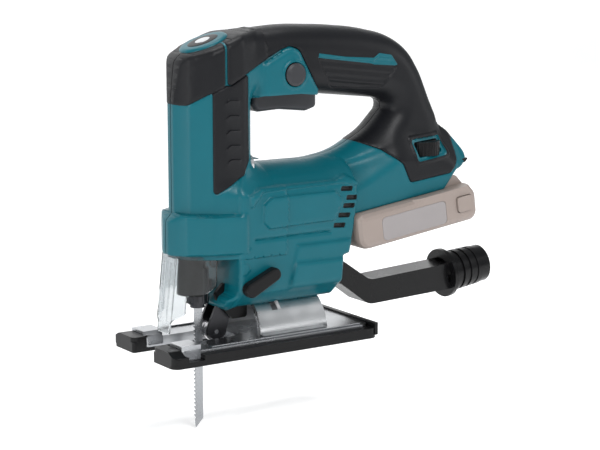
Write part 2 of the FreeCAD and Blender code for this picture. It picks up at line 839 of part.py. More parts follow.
def guide_bushes():
    places = ((83, 88.5), (128, 133.5), (142.5, 148))
    return Part.makeCompound([ring_z(a, b, PLUNGER_X, 0, 6.48, ROD_R + 0.05) for a, b in places])


def plunger_rod():
    rod = cyl_z(58, 146.5, PLUNGER_X, 0, ROD_R)
    yoke = box(-29, -24.6, -16, 16, YOKE_Z - 6, YOKE_Z + 6)
    slot = box(-30, -24, -14, 14, YOKE_Z - 2.7, YOKE_Z + 2.7)
    bridge = box(PLUNGER_X, -28.5, -4, 4, YOKE_Z - 5.2, YOKE_Z + 5.2)
    return fuse_all([rod, yoke.cut(slot), bridge.cut(slot.copy())])


def blade_clamp():
    body = cyl_z(29, 60, PLUNGER_X, 0, 5.5)
    foot = cyl_z(27, 29, PLUNGER_X, 0, 4.6)
    slot = box(-40.2, -32.8, -0.56, 0.56, 26, 44)
    bore = cyl_z(57.9, 61, PLUNGER_X, 0, ROD_R)
    return fuse_all([body, foot]).cut(slot).cut(bore)


def clamp_sleeve():
    ring = ring_z(30, 52, PLUNGER_X, 0, 7.2, 5.56)
    flutes = []
    for k in range(12):
        a = math.radians(30 * k)
        flutes.append(cyl_z(31, 51, PLUNGER_X + 7.5 * math.cos(a), 7.5 * math.sin(a), 0.7))
    return cut_all(ring, flutes)


def blade():
    """A toothed jigsaw blade, teeth towards the front."""
    back = -33.2
    root = -38.1
    tip = -39.6
    pitch = 2.6
    points = [(back, 43), (-38.9, 43), (-38.9, 18)]
    count = int((18 + 46) / pitch)
    z = 18.0
    points.append((root, z))
    for _ in range(count):
        points.append((tip, z - 0.3))
        points.append((root, z - pitch))
        z -= pitch
    points.append((tip + 0.8, z - 0.6))
    points.append((tip + 1.2, -50.4))
    points.append((back, -45))
    corners = [V(a, -0.5, b) for a, b in points]
    return Part.Face(Part.makePolygon(corners + [corners[0]])).extrude(V(0, 1.0, 0))


def opener():
    """The half-round lever around the blade clamp."""
    ring = ring_z(58, 61.5, PLUNGER_X, 0, 13, 11.3)
    wall = ring_z(36, 60, PLUNGER_X, 0, 13, 11.3)
    sector = [(PLUNGER_X, 0, 0)]
    for degrees in (105, 125, 150, 180, 210, 235, 255):
        a = math.radians(degrees)
        sector.append((PLUNGER_X + 40 * math.cos(a), 40 * math.sin(a), 0))
    wall = wall.common(prism_xy(sector, 30, 64))
    return ring.fuse(wall)


# ---- blade roller --------------------------------------------------------------------------------
def roller_holder():
    arm = [
        (ROLLER_X - 5.4, ROLLER_Z + 4.6, 5),
        (ROLLER_X - 5.2, ROLLER_Z - 4.8, 5),
        (ROLLER_X + 6.5, ROLLER_Z - 4.2, 4),
        (-16.2, 22, 3),
        (-16.4, 34, 3),
        (-18, 37, 3),
        (-22, 37, 3),
        (-24.2, 32, 3),
    ]
    sides = [prism_xz(arm, -6.2, -4.3), prism_xz(arm, 4.3, 6.2)]
    bridge = prism_xz([(-24.6, 30, 2), (-17.2, 27.5, 2), (-16.6, 36.6, 2), (-22.4, 36.6, 2)], -4.4, 4.4)
    holes = [
        cyl_y(-12, 12, HOLDER_X, HOLDER_Z, 2.06),
        cyl_y(-12, 12, ROLLER_X, ROLLER_Z, 1.5),
    ]
    return cut_all(fuse_all(sides + [bridge]), holes)


def roller_parts():
    pin = cyl_y(-6.6, 6.6, ROLLER_X, ROLLER_Z, 1.5)
    wheel = cyl_y(-3.9, 3.9, ROLLER_X, ROLLER_Z, ROLLER_R).cut(cyl_y(-5, 5, ROLLER_X, ROLLER_Z, 1.55))
    groove = cyl_y(-0.9, 0.9, ROLLER_X, ROLLER_Z, 8).cut(cyl_y(-1, 1, ROLLER_X, ROLLER_Z, 5.6))
    return pin, wheel.cut(groove)


def roller_bracket():
    """Two cheeks that carry the roller holder's pivot pin."""
    cheek = [(-27.5, 30, 2), (-17, 18.6, 2), (-6, 18.6, 2), (-6, 30, 1), (-14.8, 41.8, 1), (-23.5, 41.8, 2), (-29, 36, 2)]
    plates = [prism_xz(cheek, -9.4, -6.7), prism_xz(cheek, 6.7, 9.4)]
    holes = cyl_y(-12, 12, HOLDER_X, HOLDER_Z, 2.0)
    pin = cyl_y(-9.4, 9.4, HOLDER_X, HOLDER_Z, 2.0)
    return Part.makeCompound([p.cut(holes) for p in plates]), pin


# ---- tilting base --------------------------------------------------------------------------------
def sole_outline(half, front, rear, notch, notch_rear):
    return [
        (front, -half, 5),
        (rear, -half, 6),
        (rear, half, 6),
        (front, half, 5),
        (front, notch, 2),
        (notch_rear, notch, 4),
        (notch_rear, -notch, 4),
        (front, -notch, 2),
    ]


def guide_slot():
    """The cross slot for the guide rule, through both prongs."""
    return box(-65, -54, -60, 60, 3.4, 9.0)


def base_plate():
    plate = prism_xy(sole_outline(33, -66.2, 72, NOTCH_HALF, NOTCH_REAR), COVER_T, PLATE_TOP)
    bosses = []
    for side in (-1, 1):
        y0, y1 = sorted((side * 16.5, side * 31))
        bosses.append(box(-66, -52.5, y0, y1, PLATE_TOP - 1, 11.6))
    rails = []
    for side in (-1, 1):
        y0, y1 = sorted((side * 29.4, side * 31))
        rails.append(box(-44, 66, y0, y1, PLATE_TOP - 1, PLATE_TOP + 0.9))
    holes = [guide_slot()]
    for x in (0, 34):
        for y in (-25, 25):
            holes.append(cyl_z(2, 10, x, y, 1.6))
            holes.append(cyl_z(2, 4.4, x, y, 3.1))
    return cut_all(fuse_all([plate] + bosses + rails), holes)


def saddle_screws():
    made = []
    for x in (0, 34):
        for y in (-25, 25):
            made.append(cyl_z(4.2, 9.0, x, y, 1.5).fuse(cyl_z(2.4, 4.3, x, y, 3.0)))
    return Part.makeCompound(made)


def bevel_saddle():
    half_tube = ring_x(-4.5, 46, 0, TILT_Z, SADDLE_R, SADDLE_IN)
    half_tube = half_tube.common(box(-20, 60, -30, 30, PLATE_TOP, 40))
    feet = []
    for side in (-1, 1):
        y0, y1 = sorted((side * 21, side * 28))
        feet.append(box(-4.5, 42, y0, y1, PLATE_TOP, PLATE_TOP + 1.2))
    slot = ring_x(BOLT_X - 3.3, BOLT_X + 3.3, 0, TILT_Z, 30, 15)
    wedge = [(0, TILT_Z, 0)]
    for degrees in (34, 60, 90, 120, 146):
        a = math.radians(degrees)
        wedge.append((50 * math.cos(a), TILT_Z + 50 * math.sin(a), 0))
    slot = slot.common(prism_yz(wedge, 0, 20))
    ticks = []
    for k in range(-3, 4):
        line = box(38, 43, -0.2, 0.2, TILT_Z + SADDLE_R - 0.35, TILT_Z + SADDLE_R + 1)
        line.rotate(V(0, 0, TILT_Z), X_DIR, 15 * k)
        ticks.append(line)
    holes = [cyl_z(8, 9.1, x, y, 1.52) for x in (0, 34) for y in (-25, 25)]
    rear_cut = prism_xz([(46, 8, 0), (60, 8, 0), (60, 40, 0), (42, 40, 0)], -40, 40)
    return main_solid(cut_all(fuse_all([half_tube] + feet), [slot, rear_cut] + ticks + holes))


def sole_cover():
    """The non-marking cover: thin underneath, with raised rims, front caps and a rear lip."""
    outer = sole_outline(SOLE_HALF, SOLE_FRONT, SOLE_REAR, 12.1, NOTCH_REAR + 0.6)
    skin = prism_xy(outer, 0, COVER_T)
    rim = prism_xy(sole_outline(SOLE_HALF, SOLE_FRONT, SOLE_REAR, 12.1, NOTCH_REAR + 0.6), 1, 6.5)
    rim = rim.cut(prism_xy(sole_outline(33.3, -66.5, 72.3, 10, -15.3), 1, 8))
    rim = rim.cut(box(-66.5, 0, -14, 14, 1, 8))
    caps = []
    for side in (-1, 1):
        y0, y1 = sorted((side * 12.1, side * 38.5))
        block = prism_xy([(SOLE_FRONT, y0, 4), (-66.5, y0, 0), (-66.5, y1, 0), (SOLE_FRONT, y1, 4)], 2, 12)
        slope = [(y0, 2, 0), (y1, 2, 0)]
        if side < 0:
            slope += [(-12.1, 9.6, 1), (-31, 9.6, 3), (-38.5, 6, 1)]
        else:
            slope += [(38.5, 6, 1), (31, 9.6, 3), (12.1, 9.6, 1)]
        caps.append(block.common(prism_yz(slope, -80, -60)))
    lip = prism_xy([(72.3, -38.5, 0), (75.5, -38.5, 4), (75.5, 38.5, 4), (72.3, 38.5, 0)], 2, 9.6)
    cover = fuse_all([skin, rim, lip] + caps)
    return cover.cut(guide_slot())


# ---- battery -------------------------------------------------------------------------------------
PACK_SIDE = [
    (2, -PACK_DEEP, 9),
    (2, -2.5, 3),
    (6, 0, 3),
    (47, 0, 0.5),
    (50.5, 6.4, 2),
    (90, 6.4, 4),
    (99, -6, 8),
    (99, -PACK_DEEP, 7),
]


def pack_form(t):
    """The battery's outer form with every wall moved inward by t."""
    return slab_stack(inset(tilted(PACK_SIDE), t), PACK_HALF - t, 6 - t, 1)


def battery_parts():
    outer = pack_form(0)
    low_sides = prism_xz(tilted([(0, -0.1, 0), (120, -0.1, 0), (120, 20, 0), (0, 20, 0)]), -60, -PACK_TOP_HALF)
    outer = cut_all(outer, both_sides(low_sides))
    inner = pack_form(2.2).cut(Part.makeCompound(both_sides(
        prism_xz(tilted([(0, -2.4, 0), (120, -2.4, 0), (120, 20, 0), (0, 20, 0)]), -60, 2.2 - PACK_TOP_HALF))))
    shell = outer.cut(inner)
    rail = rail_box(50, 84, -9, 9, 5.4, 9.2).fuse(rail_box(50, 84, -12, 12, 9.1, 12))
    slots = [rail_box(49, 63, y - 1.1, y + 1.1, 9.15, 13) for y in (-6, 0, 6)]
    split = -9.0
    below = prism_xz(tilted([(-20, -60, 0), (130, -60, 0), (130, split, 0), (-20, split, 0)]), -60, 60)
    above = prism_xz(tilted([(-20, split, 0), (130, split, 0), (130, 40, 0), (-20, 40, 0)]), -60, 60)
    recess = []
    for side in (-1, 1):
        y0, y1 = sorted((side * (PACK_HALF - 0.5), side * (PACK_HALF + 1)))
        recess.append(prism_xz(tilted([(20, -21, 3), (72, -21, 3), (72, -5.5, 3), (20, -5.5, 3)]), y0, y1))
    buttons = [prism_xz(tilted([(80.6, -16.4, 2), (93.4, -16.4, 2), (93.4, -5.6, 2), (80.6, -5.6, 2)]), -40, 40)]
    lower = cut_all(shell.common(below), recess + buttons)
    upper = cut_all(shell.common(above).fuse(rail), slots + recess + buttons)
    return main_solid(lower), main_solid(upper)


def battery_cells():
    """Three round cells side by side."""
    cells = []
    for y in (-18.7, 0, 18.7):
        start = along(9, -12.4)
        end = along(74, -12.4)
        direction = V(end[0] - start[0], 0, end[1] - start[1])
        cells.append(Part.makeCylinder(9.2, 65, V(start[0], y, start[1]), direction))
    return Part.makeCompound(cells)


def battery_labels():
    plates = []
    for side in (-1, 1):
        y0, y1 = sorted((side * (PACK_HALF - 0.48), side * (PACK_HALF - 0.05)))
        plates.append(prism_xz(tilted([(20.2, -20.8, 3), (71.8, -20.8, 3), (71.8, -5.7, 3), (20.2, -5.7, 3)]), y0, y1))
    return Part.makeCompound(plates)


def battery_button(side):
    y0, y1 = sorted((side * 24, side * 32.4))
    side_view = tilted([(81, -16, 2), (93, -16, 2), (93, -6, 2), (81, -6, 2)])
    return prism_xz(side_view, y0, y1)


# ---- dust nozzle ---------------------------------------------------------------------------------
NOZZLE_SIDE = [
    (47.2, 46.3, 0),
    (67, 46.3, 8),
    (89, 31, 12),
    (156, 34.6, 0),
    (156, 17, 0),
    (88, 14.6, 12),
    (64.5, 32, 10),
    (64.5, 37.2, 1),
    (47.2, 37.2, 0),
]


def nozzle_parts():
    direction = V(math.cos(math.radians(CUFF_TILT)), 0, math.sin(math.radians(CUFF_TILT)))
    start = V(CUFF_X, 0, CUFF_Z)

    def disc(a, b, r):
        return Part.makeCylinder(r, b - a, start + direction * a, direction)

    tube = prism_xz(NOZZLE_SIDE, -9.9, 9.9)
    inner = [
        (46, 44.8, 0),
        (66.4, 44.8, 7),
        (88.5, 29.4, 12),
        (160, 33.2, 0),
        (160, 18.8, 0),
        (88.5, 16.2, 12),
        (66.2, 33.2, 9),
        (66.2, 38.7, 1),
        (46, 38.7, 0),
    ]
    tube = tube.cut(prism_xz(inner, -8.3, 8.3)).cut(disc(3.2, 20, 40))
    tube = tube.cut(disc(1.9, 10, 11))
    flange = disc(3.2, 6, 16.5)
    cuff = [disc(6, 36.4, 12.6)]
    for k in range(4):
        cuff.append(disc(8 + 6 * k, 11.6 + 6 * k, 13.8 - 0.2 * k))
    end = fuse_all([flange] + cuff).cut(disc(0, 60, 10.8))
    return main_solid(tube), main_solid(end)


# ---- all nodes -----------------------------------------------------------------------------------
def build():
    """Every node by name."""
    outer = bulk(0)
    inner = bulk(WALL)
    skin = bulk(-SKIN).cut(outer)
    skin = cut_all(skin, body_openings() + [cyl_y(8, 40, x, z, 3.1) for x, z in SCREWS])
    nodes = {}
    nodes["housing_left"], nodes["housing_right"] = shell_halves(outer, inner)
    cap = lamp_cap()
    fronts, handles = [], []
    for near in (True, False):
        front, handle = grips(skin, near)
        fronts += front.Solids
        handles += big_solids(handle.cut(cap), 5).Solids
    nodes["front_grips"] = Part.makeCompound(fronts)
    nodes["handle_grips"] = Part.makeCompound(handles)
    pad = skin.common(prism_xz(PAD_FRONT, -45, 45)).cut(cap)
    nodes["head_pad"] = main_solid(pad)
    nodes["head_cap"] = main_solid(skin.common(cap))
    nodes["housing_screws"] = housing_screws()
    nodes["gear_plate"] = gear_plate()
    nodes["gear_axle"] = gear_axle()
    nodes["axle_clip"] = axle_clip()
    nodes["motor_bearings"] = bearings()
    nodes["stator"] = stator()
    nodes["stator_coils"] = coils()
    nodes["motor_bracket"] = motor_bracket()
    nodes["switch_unit"] = switch_unit()
    nodes["lamp_lens"], lamp_board = lamp()
    nodes["circuit_boards"] = Part.makeCompound([sensor_board(), control_board(), lamp_board])
    nodes["rail_receiver"] = rail_receiver(outer)
    nodes["contact_block"] = contact_block()
    nodes["bevel_bolt"] = bevel_bolt()
    nodes["dust_channel"] = dust_channel()
    nodes["collar"] = collar()
    nodes["dust_cover"] = dust_cover()
    nodes["rating_plate"] = rating_plate()
    nodes["roller_bracket"], holder_pin = roller_bracket()
    nodes["pivot_pins"] = Part.makeCompound([guide_pin(), trigger_pin(), holder_pin])
    nodes["trigger"] = trigger()
    nodes["lock_button"] = lock_button()
    nodes["speed_dial"] = speed_dial()
    nodes["selector_lever"] = selector()
    nodes["rotor_core"], nodes["rotor_shaft"], nodes["fan"] = rotor_parts()
    nodes["drive_gear"], nodes["crank_pin"] = drive_gear()
    nodes["guide_frame"] = guide_frame()
    nodes["guide_bushes"] = guide_bushes()
    nodes["plunger_rod"] = plunger_rod()
    nodes["blade_clamp"] = blade_clamp()
    nodes["clamp_sleeve"] = clamp_sleeve()
    nodes["blade"] = blade()
    nodes["opener"] = opener()
    nodes["roller_holder"] = roller_holder()
    nodes["roller_pin"], nodes["guide_roller"] = roller_parts()
    nodes["base_plate"] = base_plate()
    nodes["bevel_saddle"] = bevel_saddle()
    nodes["sole_cover"] = sole_cover()
    nodes["saddle_screws"] = saddle_screws()
    nodes["battery_case"], nodes["battery_lid"] = battery_parts()
    nodes["battery_cells"] = battery_cells()
    nodes["battery_labels"] = battery_labels()
    nodes["battery_button_left"] = battery_button(-1)
    nodes["battery_button_right"] = battery_button(1)
    nodes["dust_nozzle"], nodes["nozzle_cuff"] = nozzle_parts()
    return nodes


os.makedirs("parts", exist_ok=True)
for node, shape in build().items():
    shape.exportStep("parts/" + node + ".step")
    print(node, shape.isValid(), len(shape.Solids), round(shape.Volume, 1))
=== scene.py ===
import math

import bmesh
import bpy
import numpy as np
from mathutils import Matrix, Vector
from mathutils.geometry import delaunay_2d_cdt


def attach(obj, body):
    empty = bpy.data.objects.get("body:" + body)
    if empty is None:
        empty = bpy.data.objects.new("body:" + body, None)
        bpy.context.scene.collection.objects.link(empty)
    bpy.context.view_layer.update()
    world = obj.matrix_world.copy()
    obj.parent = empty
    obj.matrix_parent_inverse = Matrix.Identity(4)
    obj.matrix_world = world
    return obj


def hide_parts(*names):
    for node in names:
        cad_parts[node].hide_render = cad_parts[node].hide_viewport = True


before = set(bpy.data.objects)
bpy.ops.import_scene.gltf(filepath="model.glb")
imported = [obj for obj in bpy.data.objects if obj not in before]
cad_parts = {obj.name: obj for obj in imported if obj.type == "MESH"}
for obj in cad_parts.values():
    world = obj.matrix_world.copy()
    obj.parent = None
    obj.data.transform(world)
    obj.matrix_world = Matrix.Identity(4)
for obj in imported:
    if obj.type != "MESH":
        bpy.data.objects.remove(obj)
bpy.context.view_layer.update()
MM = 0.001

# ---------------------------------------------------------------- driving sizes, mm
HANDLE_HALF = 17.0
BODY_HALF = 28.0
NECK_HALF = 24.0
COLLAR_HALF = 30.0
PANEL_HALF = 20.3
SEAM_HALF = 0.28
RAIL_TILT = math.radians(7.5)
RAIL_X = 62.0
RAIL_Z = 78.6
CAP_X = -30.5
CAP_Z = 191.0
CAP_TILT = math.radians(20)
CAP_SLOPE = 0.364
HANDLE_START_X = -15.5
HANDLE_START_Z = 196.642
HANDLE_START_SLOPE = 0.14
TAIL_START = 138
TAIL_LENGTH = 30
TAIL_HALF = 24.4
TILT_Z = 10
SADDLE_CLEAR = 23.6
CHANNEL_HALF = 20.8
RECEIVER_HALF = 16.2

# fittings on the sides: places as (x, z)
LOCK = (23.3, 170.3)
LOCK_HOLE = 7.45
LOCK_DEPTH = 8.0
LOCK_RING = 8.3
SELECT = (-9.0, 45.0)
SELECT_HOLE = 3.4
SELECT_DEPTH = 24.0
DIAL_DEPTH = 17.6
BOSS = (-19.4, 53.6)
BOSS_R = 3.9
SCREWS = [(-10, 186), (60, 178), (116, 166), (152, 118), (56, 108), (-11, 58), (48, 56)]
SCREW_HOLE = 3.15
SCREW_DEPTH = 10.6
VENT_SPOTS = [(58, 97), (62, 91), (59.5, 86), (56, 80.2), (52.5, 74)]
VENT_CORNERS = [(-5.4, -1.3), (3.2, -1.9), (4.2, 1.2), (-4.6, 1.7)]
MARKS = [((-17.6, 64.2), (-15.4, 65.6)), ((-10.6, 58.9), (-9.2, 60.6)), ((-6.9, 60.4), (-5.7, 62.2)),
         ((-17.2, 52.2), (-14.8, 53.4)), ((-18.6, 45.6), (-16.2, 46.4))]
RIB_TILT = 0.13
RIB_PITCH = 4.2
RIDGE_TOPS = (157.6, 148.4, 139.4, 130.2, 121.4)
RIDGE_X = -28.6
RIDGE_STEP = 0.25
RIDGE_LENGTH = 11.2
RIDGE_HOOK = 3.4

# ---------------------------------------------------------------- half-widths: (place, half-width)
UPPER_PLAN = [(-54, 3.4), (-51.6, 8), (-48.4, 13), (-36, 21), (-25, 22), (-15, 21.4), (-4, 17.4), (5, 15.5)]
LOWER_PLAN = [(-54, 3.4), (-51.6, 8), (-48.4, 13), (-36, 21), (-18, 28), (12, 28)]
COLLAR_PLAN = [(-58.5, 3.8), (-55.8, 10), (-52.4, 15.6), (-38, 25.0), (-19, 30.2)]
MOTOR_SECTION = [(25, 15), (33, 22.5), (39.5, 28), (99, 28), (108, 23), (116, 17)]

# ---------------------------------------------------------------- outlines: (x, z, corner radius)
LOOP = [(-20, 140, 0), (-20, 184, 0), (-6, 195.6, 8), (4, 199.0, 30), (25, 200.4, 200), (56, 198.8, 200),
        (79, 196.4, 120), (103, 191.2, 60), (119, 181.4, 40), (129, 166, 60), (137, 148, 60),
        (145, 132, 40), (145, 112, 0), (60, 106, 0), (40, 106, 0), (-10, 106, 0), (-10, 140, 0)]
HAND_HOLE = [(-2, 158, 4), (-2, 115, 9), (46, 114.5, 60), (66, 118, 60), (90, 130, 40), (105, 145, 8),
             (97, 149.8, 6), (49, 155.5, 60), (28, 158, 20)]
HEAD_SIDE = [(-54, 60, 0), (-54, 158, 40), (-51.6, 180.6, 6), (-47, 184.9, 4), (-15.5, 196.4, 12),
             (5, 199.0, 1), (5, 104, 1), (12, 103, 1), (12, 60, 0)]
COLLAR_SIDE = [(-58.5, 62.5, 1.2), (-58.5, 83.5, 4), (-54, 88.5, 3), (-16, 88.5, 0), (-16, 62.5, 0)]
MOTOR_SIDE = [(-22, 42, 4), (-22.6, 36.5, 2), (-27.2, 34, 2.5), (-28.6, 28.6, 2.5), (-24, 25.6, 2),
              (-17, 27.6, 1), (52.6, 27.6, 1.5), (54.4, 36, 3), (55.8, 53.6, 0.8), (60.4, 54.8, 0.8),
              (63.8, 70, 12), (66.4, 92, 12), (66, 113, 5), (30, 120, 4), (-10, 120, 0), (-22, 104, 0)]
NECK_CREST = [(34, 110, 6), (48, 120, 20), (66, 126, 20), (84, 137, 14), (100, 143, 14), (116, 136, 12),
              (131, 133.5, 8), (143, 131, 10), (152, 125.2, 12), (160.5, 117, 10)]
NECK_REAR = [(165, 110, 7), (163, 104, 4), (149, 100.5, 4)]
NECK_FOOT = [(77.4, -0.6, 2.5), (46, -0.6, 0), (-5.5, -0.6, 0)]
PANEL_SIDE = [(-12, 157, 4), (-12, 171.6, 2), (15.2, 185.0, 6), (21.5, 187.0, 5), (27.6, 184.7, 4),
              (44.2, 155.4, 3)]

# colour regions on the sides
BLACK_HANDLE = [(-26.7, 215, 0), (-26.5, 167, 4), (-24, 166.2, 2), (-10, 173.2, 3), (15, 185.6, 6),
                (21.5, 187.6, 5), (28, 185.2, 4), (44.6, 155.7, 3), (47, 140, 0), (55, 120, 0),
                (57.5, 121.6, 3), (67, 125.8, 8), (77, 123.4, 8), (91.5, 117.4, 6), (104.6, 108, 6),
                (110.6, 95.2, 3), (143.5, 98.8, 4), (151, 107, 6), (155, 118, 5), (159, 133, 0),
                (185, 140, 0), (185, 215, 0)]
BLACK_PAD = [(-70, 158, 0), (-52, 154.6, 1), (-49.3, 154.7, 1), (-38.2, 161.3, 3), (-27.8, 165.3, 3),
             (-27.9, 215, 0), (-70, 215, 0)]
FINGER_PAD = [(-36.4, 162.4, 1), (-36.4, 99.2, 2), (-14.9, 110.8, 3), (-9.8, 119.5, 4), (-10.6, 173.2, 2),
              (-24, 166.2, 2), (-27, 166.6, 2)]
HANDLE_INSET = [(43.2, 176.4, 1), (41.8, 180.6, 1), (67, 177.2, 2), (84.5, 175.4, 2), (89, 178.2, 2),
                (99.5, 176.6, 2), (104.2, 170.6, 2), (92.8, 157.2, 2), (55.3, 159.2, 2), (52.3, 161.5, 2)]
STRIPE = [(42.6, 179.4, 0.5), (42.9, 182.2, 0.5), (63.3, 179.0, 1), (85, 177.3, 1), (89.3, 180.1, 1.5),
          (99.0, 178.4, 1.5), (104.0, 171.8, 1.5), (102, 171.4, 0.8), (86, 172.8, 1), (82.5, 173.8, 1)]
DIAL_FRAME = [(114.6, 105.2, 2), (111.2, 125.0, 2), (138.8, 126.8, 2), (145.6, 110.2, 3)]
DIAL_RING = [(115.7, 108.6, 2), (113.3, 122.7, 2), (138.1, 124.2, 2), (142.2, 111.4, 2.5)]
DIAL_WINDOW = [(117.8, 110.6, 1.5), (115.6, 120.6, 1.5), (135.9, 121.9, 1.5), (138.9, 113.4, 1.5)]

# raised fields on the motor's side
PANEL = [(-6.3, 92.4, 2), (-0.4, 96.9, 1.5), (48.2, 96.8, 2), (53.6, 89.9, 1), (47.5, 77.7, 2),
         (-2, 77, 1.5), (-6.3, 81, 2)]
STEP = [(14, 38, 1), (19.5, 64.6, 1), (62, 64.6, 1), (64, 30, 1), (14, 30, 1)]
LOWER = [(12.5, 38.5, 1), (18, 53.8, 1), (66, 53, 1), (66, 20, 1), (-22, 20, 1), (-22, 38.5, 1)]
BAND = [(-16, 99, 1), (-8, 103.2, 2), (49, 103.2, 3), (58, 106, 3), (66, 101, 1), (66, 98, 1),
        (56, 100.4, 3), (-6, 100, 3), (-16, 88, 2)]


def tilted(points):
    """Rounded-corner points of the battery rail's slanted frame, turned into x and z."""
    c, s = math.cos(RAIL_TILT), math.sin(RAIL_TILT)
    return [(RAIL_X + u * c - v * s, RAIL_Z + u * s + v * c, r) for u, v, r in points]


NECK_SIDE = NECK_CREST + NECK_REAR + tilted(NECK_FOOT)


# ---------------------------------------------------------------- curves and distances
def corner_arc(p, c, q, radius, step):
    """Points of the arc that rounds the corner c between p and q."""
    a, b = p - c, q - c
    la, lb = np.linalg.norm(a), np.linalg.norm(b)
    a, b = a / la, b / lb
    half = math.acos(max(-1, min(1, float(a @ b)))) / 2
    almost_straight = 1.565
    back = radius / math.tan(half) if radius > 0 and half < almost_straight else 0
    back = min(back, 0.48 * la, 0.48 * lb)
    if back < 0.02:
        return [c]
    radius = back * math.tan(half)
    centre = c + (a + b) / np.linalg.norm(a + b) * radius / math.sin(half)
    start, end = c + a * back, c + b * back
    a0 = math.atan2(*(start - centre)[::-1])
    a1 = math.atan2(*(end - centre)[::-1])
    turn = (a1 - a0 + math.pi) % (2 * math.pi) - math.pi
    count = max(2, int(abs(turn) * radius / step) + 1, int(abs(turn) / 0.3) + 1)
    angles = [a0 + turn * k / count for k in range(count + 1)]
    return [centre + radius * np.array([math.cos(t), math.sin(t)]) for t in angles]


def rounded(points, step=1.2):
    """Dense closed polyline through rounded corners."""
    places = [np.array(q[:2], float) for q in points]
    out = []
    for i, c in enumerate(places):
        out += corner_arc(places[i - 1], c, places[(i + 1) % len(places)], points[i][2], step)
    dense = []
    for i, p in enumerate(out):
        q = out[(i + 1) % len(out)]
        count = max(1, int(np.linalg.norm(q - p) / step))
        dense += [p + (q - p) * k / count for k in range(count)]
    return np.array(dense)


def signed(points, poly, reach=6.0):
    """Distance inside a closed polyline, negative outside; rough beyond the reach."""
    lo, hi = poly.min(0) - reach, poly.max(0) + reach
    gap = np.maximum(np.maximum(lo - points, points - hi), 0).max(1)
    out = -reach - gap
    close = gap <= 0
    out[close] = signed_close(points[close], poly)
    return out


def signed_close(points, poly, batch=4000):
    """Distance inside a closed polyline, negative outside."""
    a = poly
    b = np.roll(poly, -1, 0)
    ab = b - a
    length2 = (ab ** 2).sum(1) + 1e-12
    out = np.empty(len(points))
    for s in range(0, len(points), batch):
        p = points[s:s + batch]
        ap = p[:, None, :] - a[None]
        t = np.clip((ap * ab[None]).sum(2) / length2[None], 0, 1)
        d = np.sqrt(((ap - t[..., None] * ab[None]) ** 2).sum(2)).min(1)
        crossed = (a[None, :, 1] > p[:, None, 1]) != (b[None, :, 1] > p[:, None, 1])
        with np.errstate(divide="ignore", invalid="ignore"):
            x = a[None, :, 0] + (p[:, None, 1] - a[None, :, 1]) / (b - a)[None, :, 1] * ab[None, :, 0]
        inside = (crossed & (p[:, None, 0] < x)).sum(1) % 2 == 1
        out[s:s + batch] = np.where(inside, d, -d)
    return out


def offset(poly, d):
    """Points beside a closed polyline, d inside it (either winding)."""
    t = np.roll(poly, -1, 0) - np.roll(poly, 1, 0)
    t /= np.linalg.norm(t, axis=1)[:, None] + 1e-9
    n = np.stack([-t[:, 1], t[:, 0]], 1)
    area = (poly[:, 0] * np.roll(poly[:, 1], -1) - np.roll(poly[:, 0], -1) * poly[:, 1]).sum()
    return poly + n * d * (1 if area > 0 else -1)


def circle(x, z, r, count=28):
    a = np.arange(count) * 2 * math.pi / count
    return np.stack([x + r * np.cos(a), z + r * np.sin(a)], 1)


def smooth01(t):
    t = np.clip(t, 0, 1)
    return t * t * (3 - 2 * t)


def ramp(d, width):
    """0 to 1 across a band of twice the width, half-way at d = 0."""
    return smooth01(d / width * 0.5 + 0.5)


def dome(d, rim, power=2.0):
    """0 at the edge, 1 deeper than rim, like a quarter ellipse."""
    t = np.clip(1 - d / rim, 0, 1)
    return (1 - t ** power) ** (1 / power)


def eased(edge, d, rim, power=2.0):
    """A dome that starts from a given share at the edge."""
    return edge + (1 - edge) * dome(d, rim, power)


def smax(a, b, k):
    """The larger of two heights, blended over k."""
    h = np.clip(0.5 + 0.5 * (a - b) / k, 0, 1)
    return b + (a - b) * h + k * h * (1 - h)


def profile(place, table):
    return np.interp(place, [row[0] for row in table], [row[1] for row in table])


def curve_set(**outlines):
    return {name: rounded(points) for name, points in outlines.items()}


CURVES = curve_set(loop=LOOP, hole=HAND_HOLE, head=HEAD_SIDE, collar=COLLAR_SIDE, motor=MOTOR_SIDE,
                   neck=NECK_SIDE, panel=PANEL_SIDE)
REGIONS = curve_set(handle=BLACK_HANDLE, pad=BLACK_PAD, finger=FINGER_PAD, inset=HANDLE_INSET,
                    stripe=STRIPE, dial_frame=DIAL_FRAME, dial_ring=DIAL_RING, dial=DIAL_WINDOW)
FIELDS = curve_set(panel=PANEL, step=STEP, lower=LOWER, band=BAND)
VENTS = [rounded([(x + u, z + v, 0.8) for u, v in VENT_CORNERS], 0.8) for x, z in VENT_SPOTS]


def curve_distances(points):
    return {name: signed(points, curve, 40.0) for name, curve in CURVES.items()}


def depth_inside(d):
    """Depth inside the whole body's outline, from the distances to its curves."""
    off_hole = -d["hole"]
    ring = np.minimum(np.maximum.reduce([d["loop"], d["motor"], d["neck"]]), off_hole)
    head = np.minimum(d["head"], off_hole)
    panel = np.minimum(d["panel"], off_hole)
    return np.maximum.reduce([ring, head, d["collar"], panel])


def body_depth(points):
    return depth_inside(curve_distances(points))


# ---------------------------------------------------------------- the body's half-width over the x-z plane
def raised(d, height, fall):
    """The height inside an outline and a steep fall outside it."""
    return np.where(d > 0, height, fall * d)


def handle_height(d):
    ring = np.minimum(d["loop"], -d["hole"])
    return raised(ring, HANDLE_HALF * dome(ring, 15.5, 2.1), HANDLE_HALF)


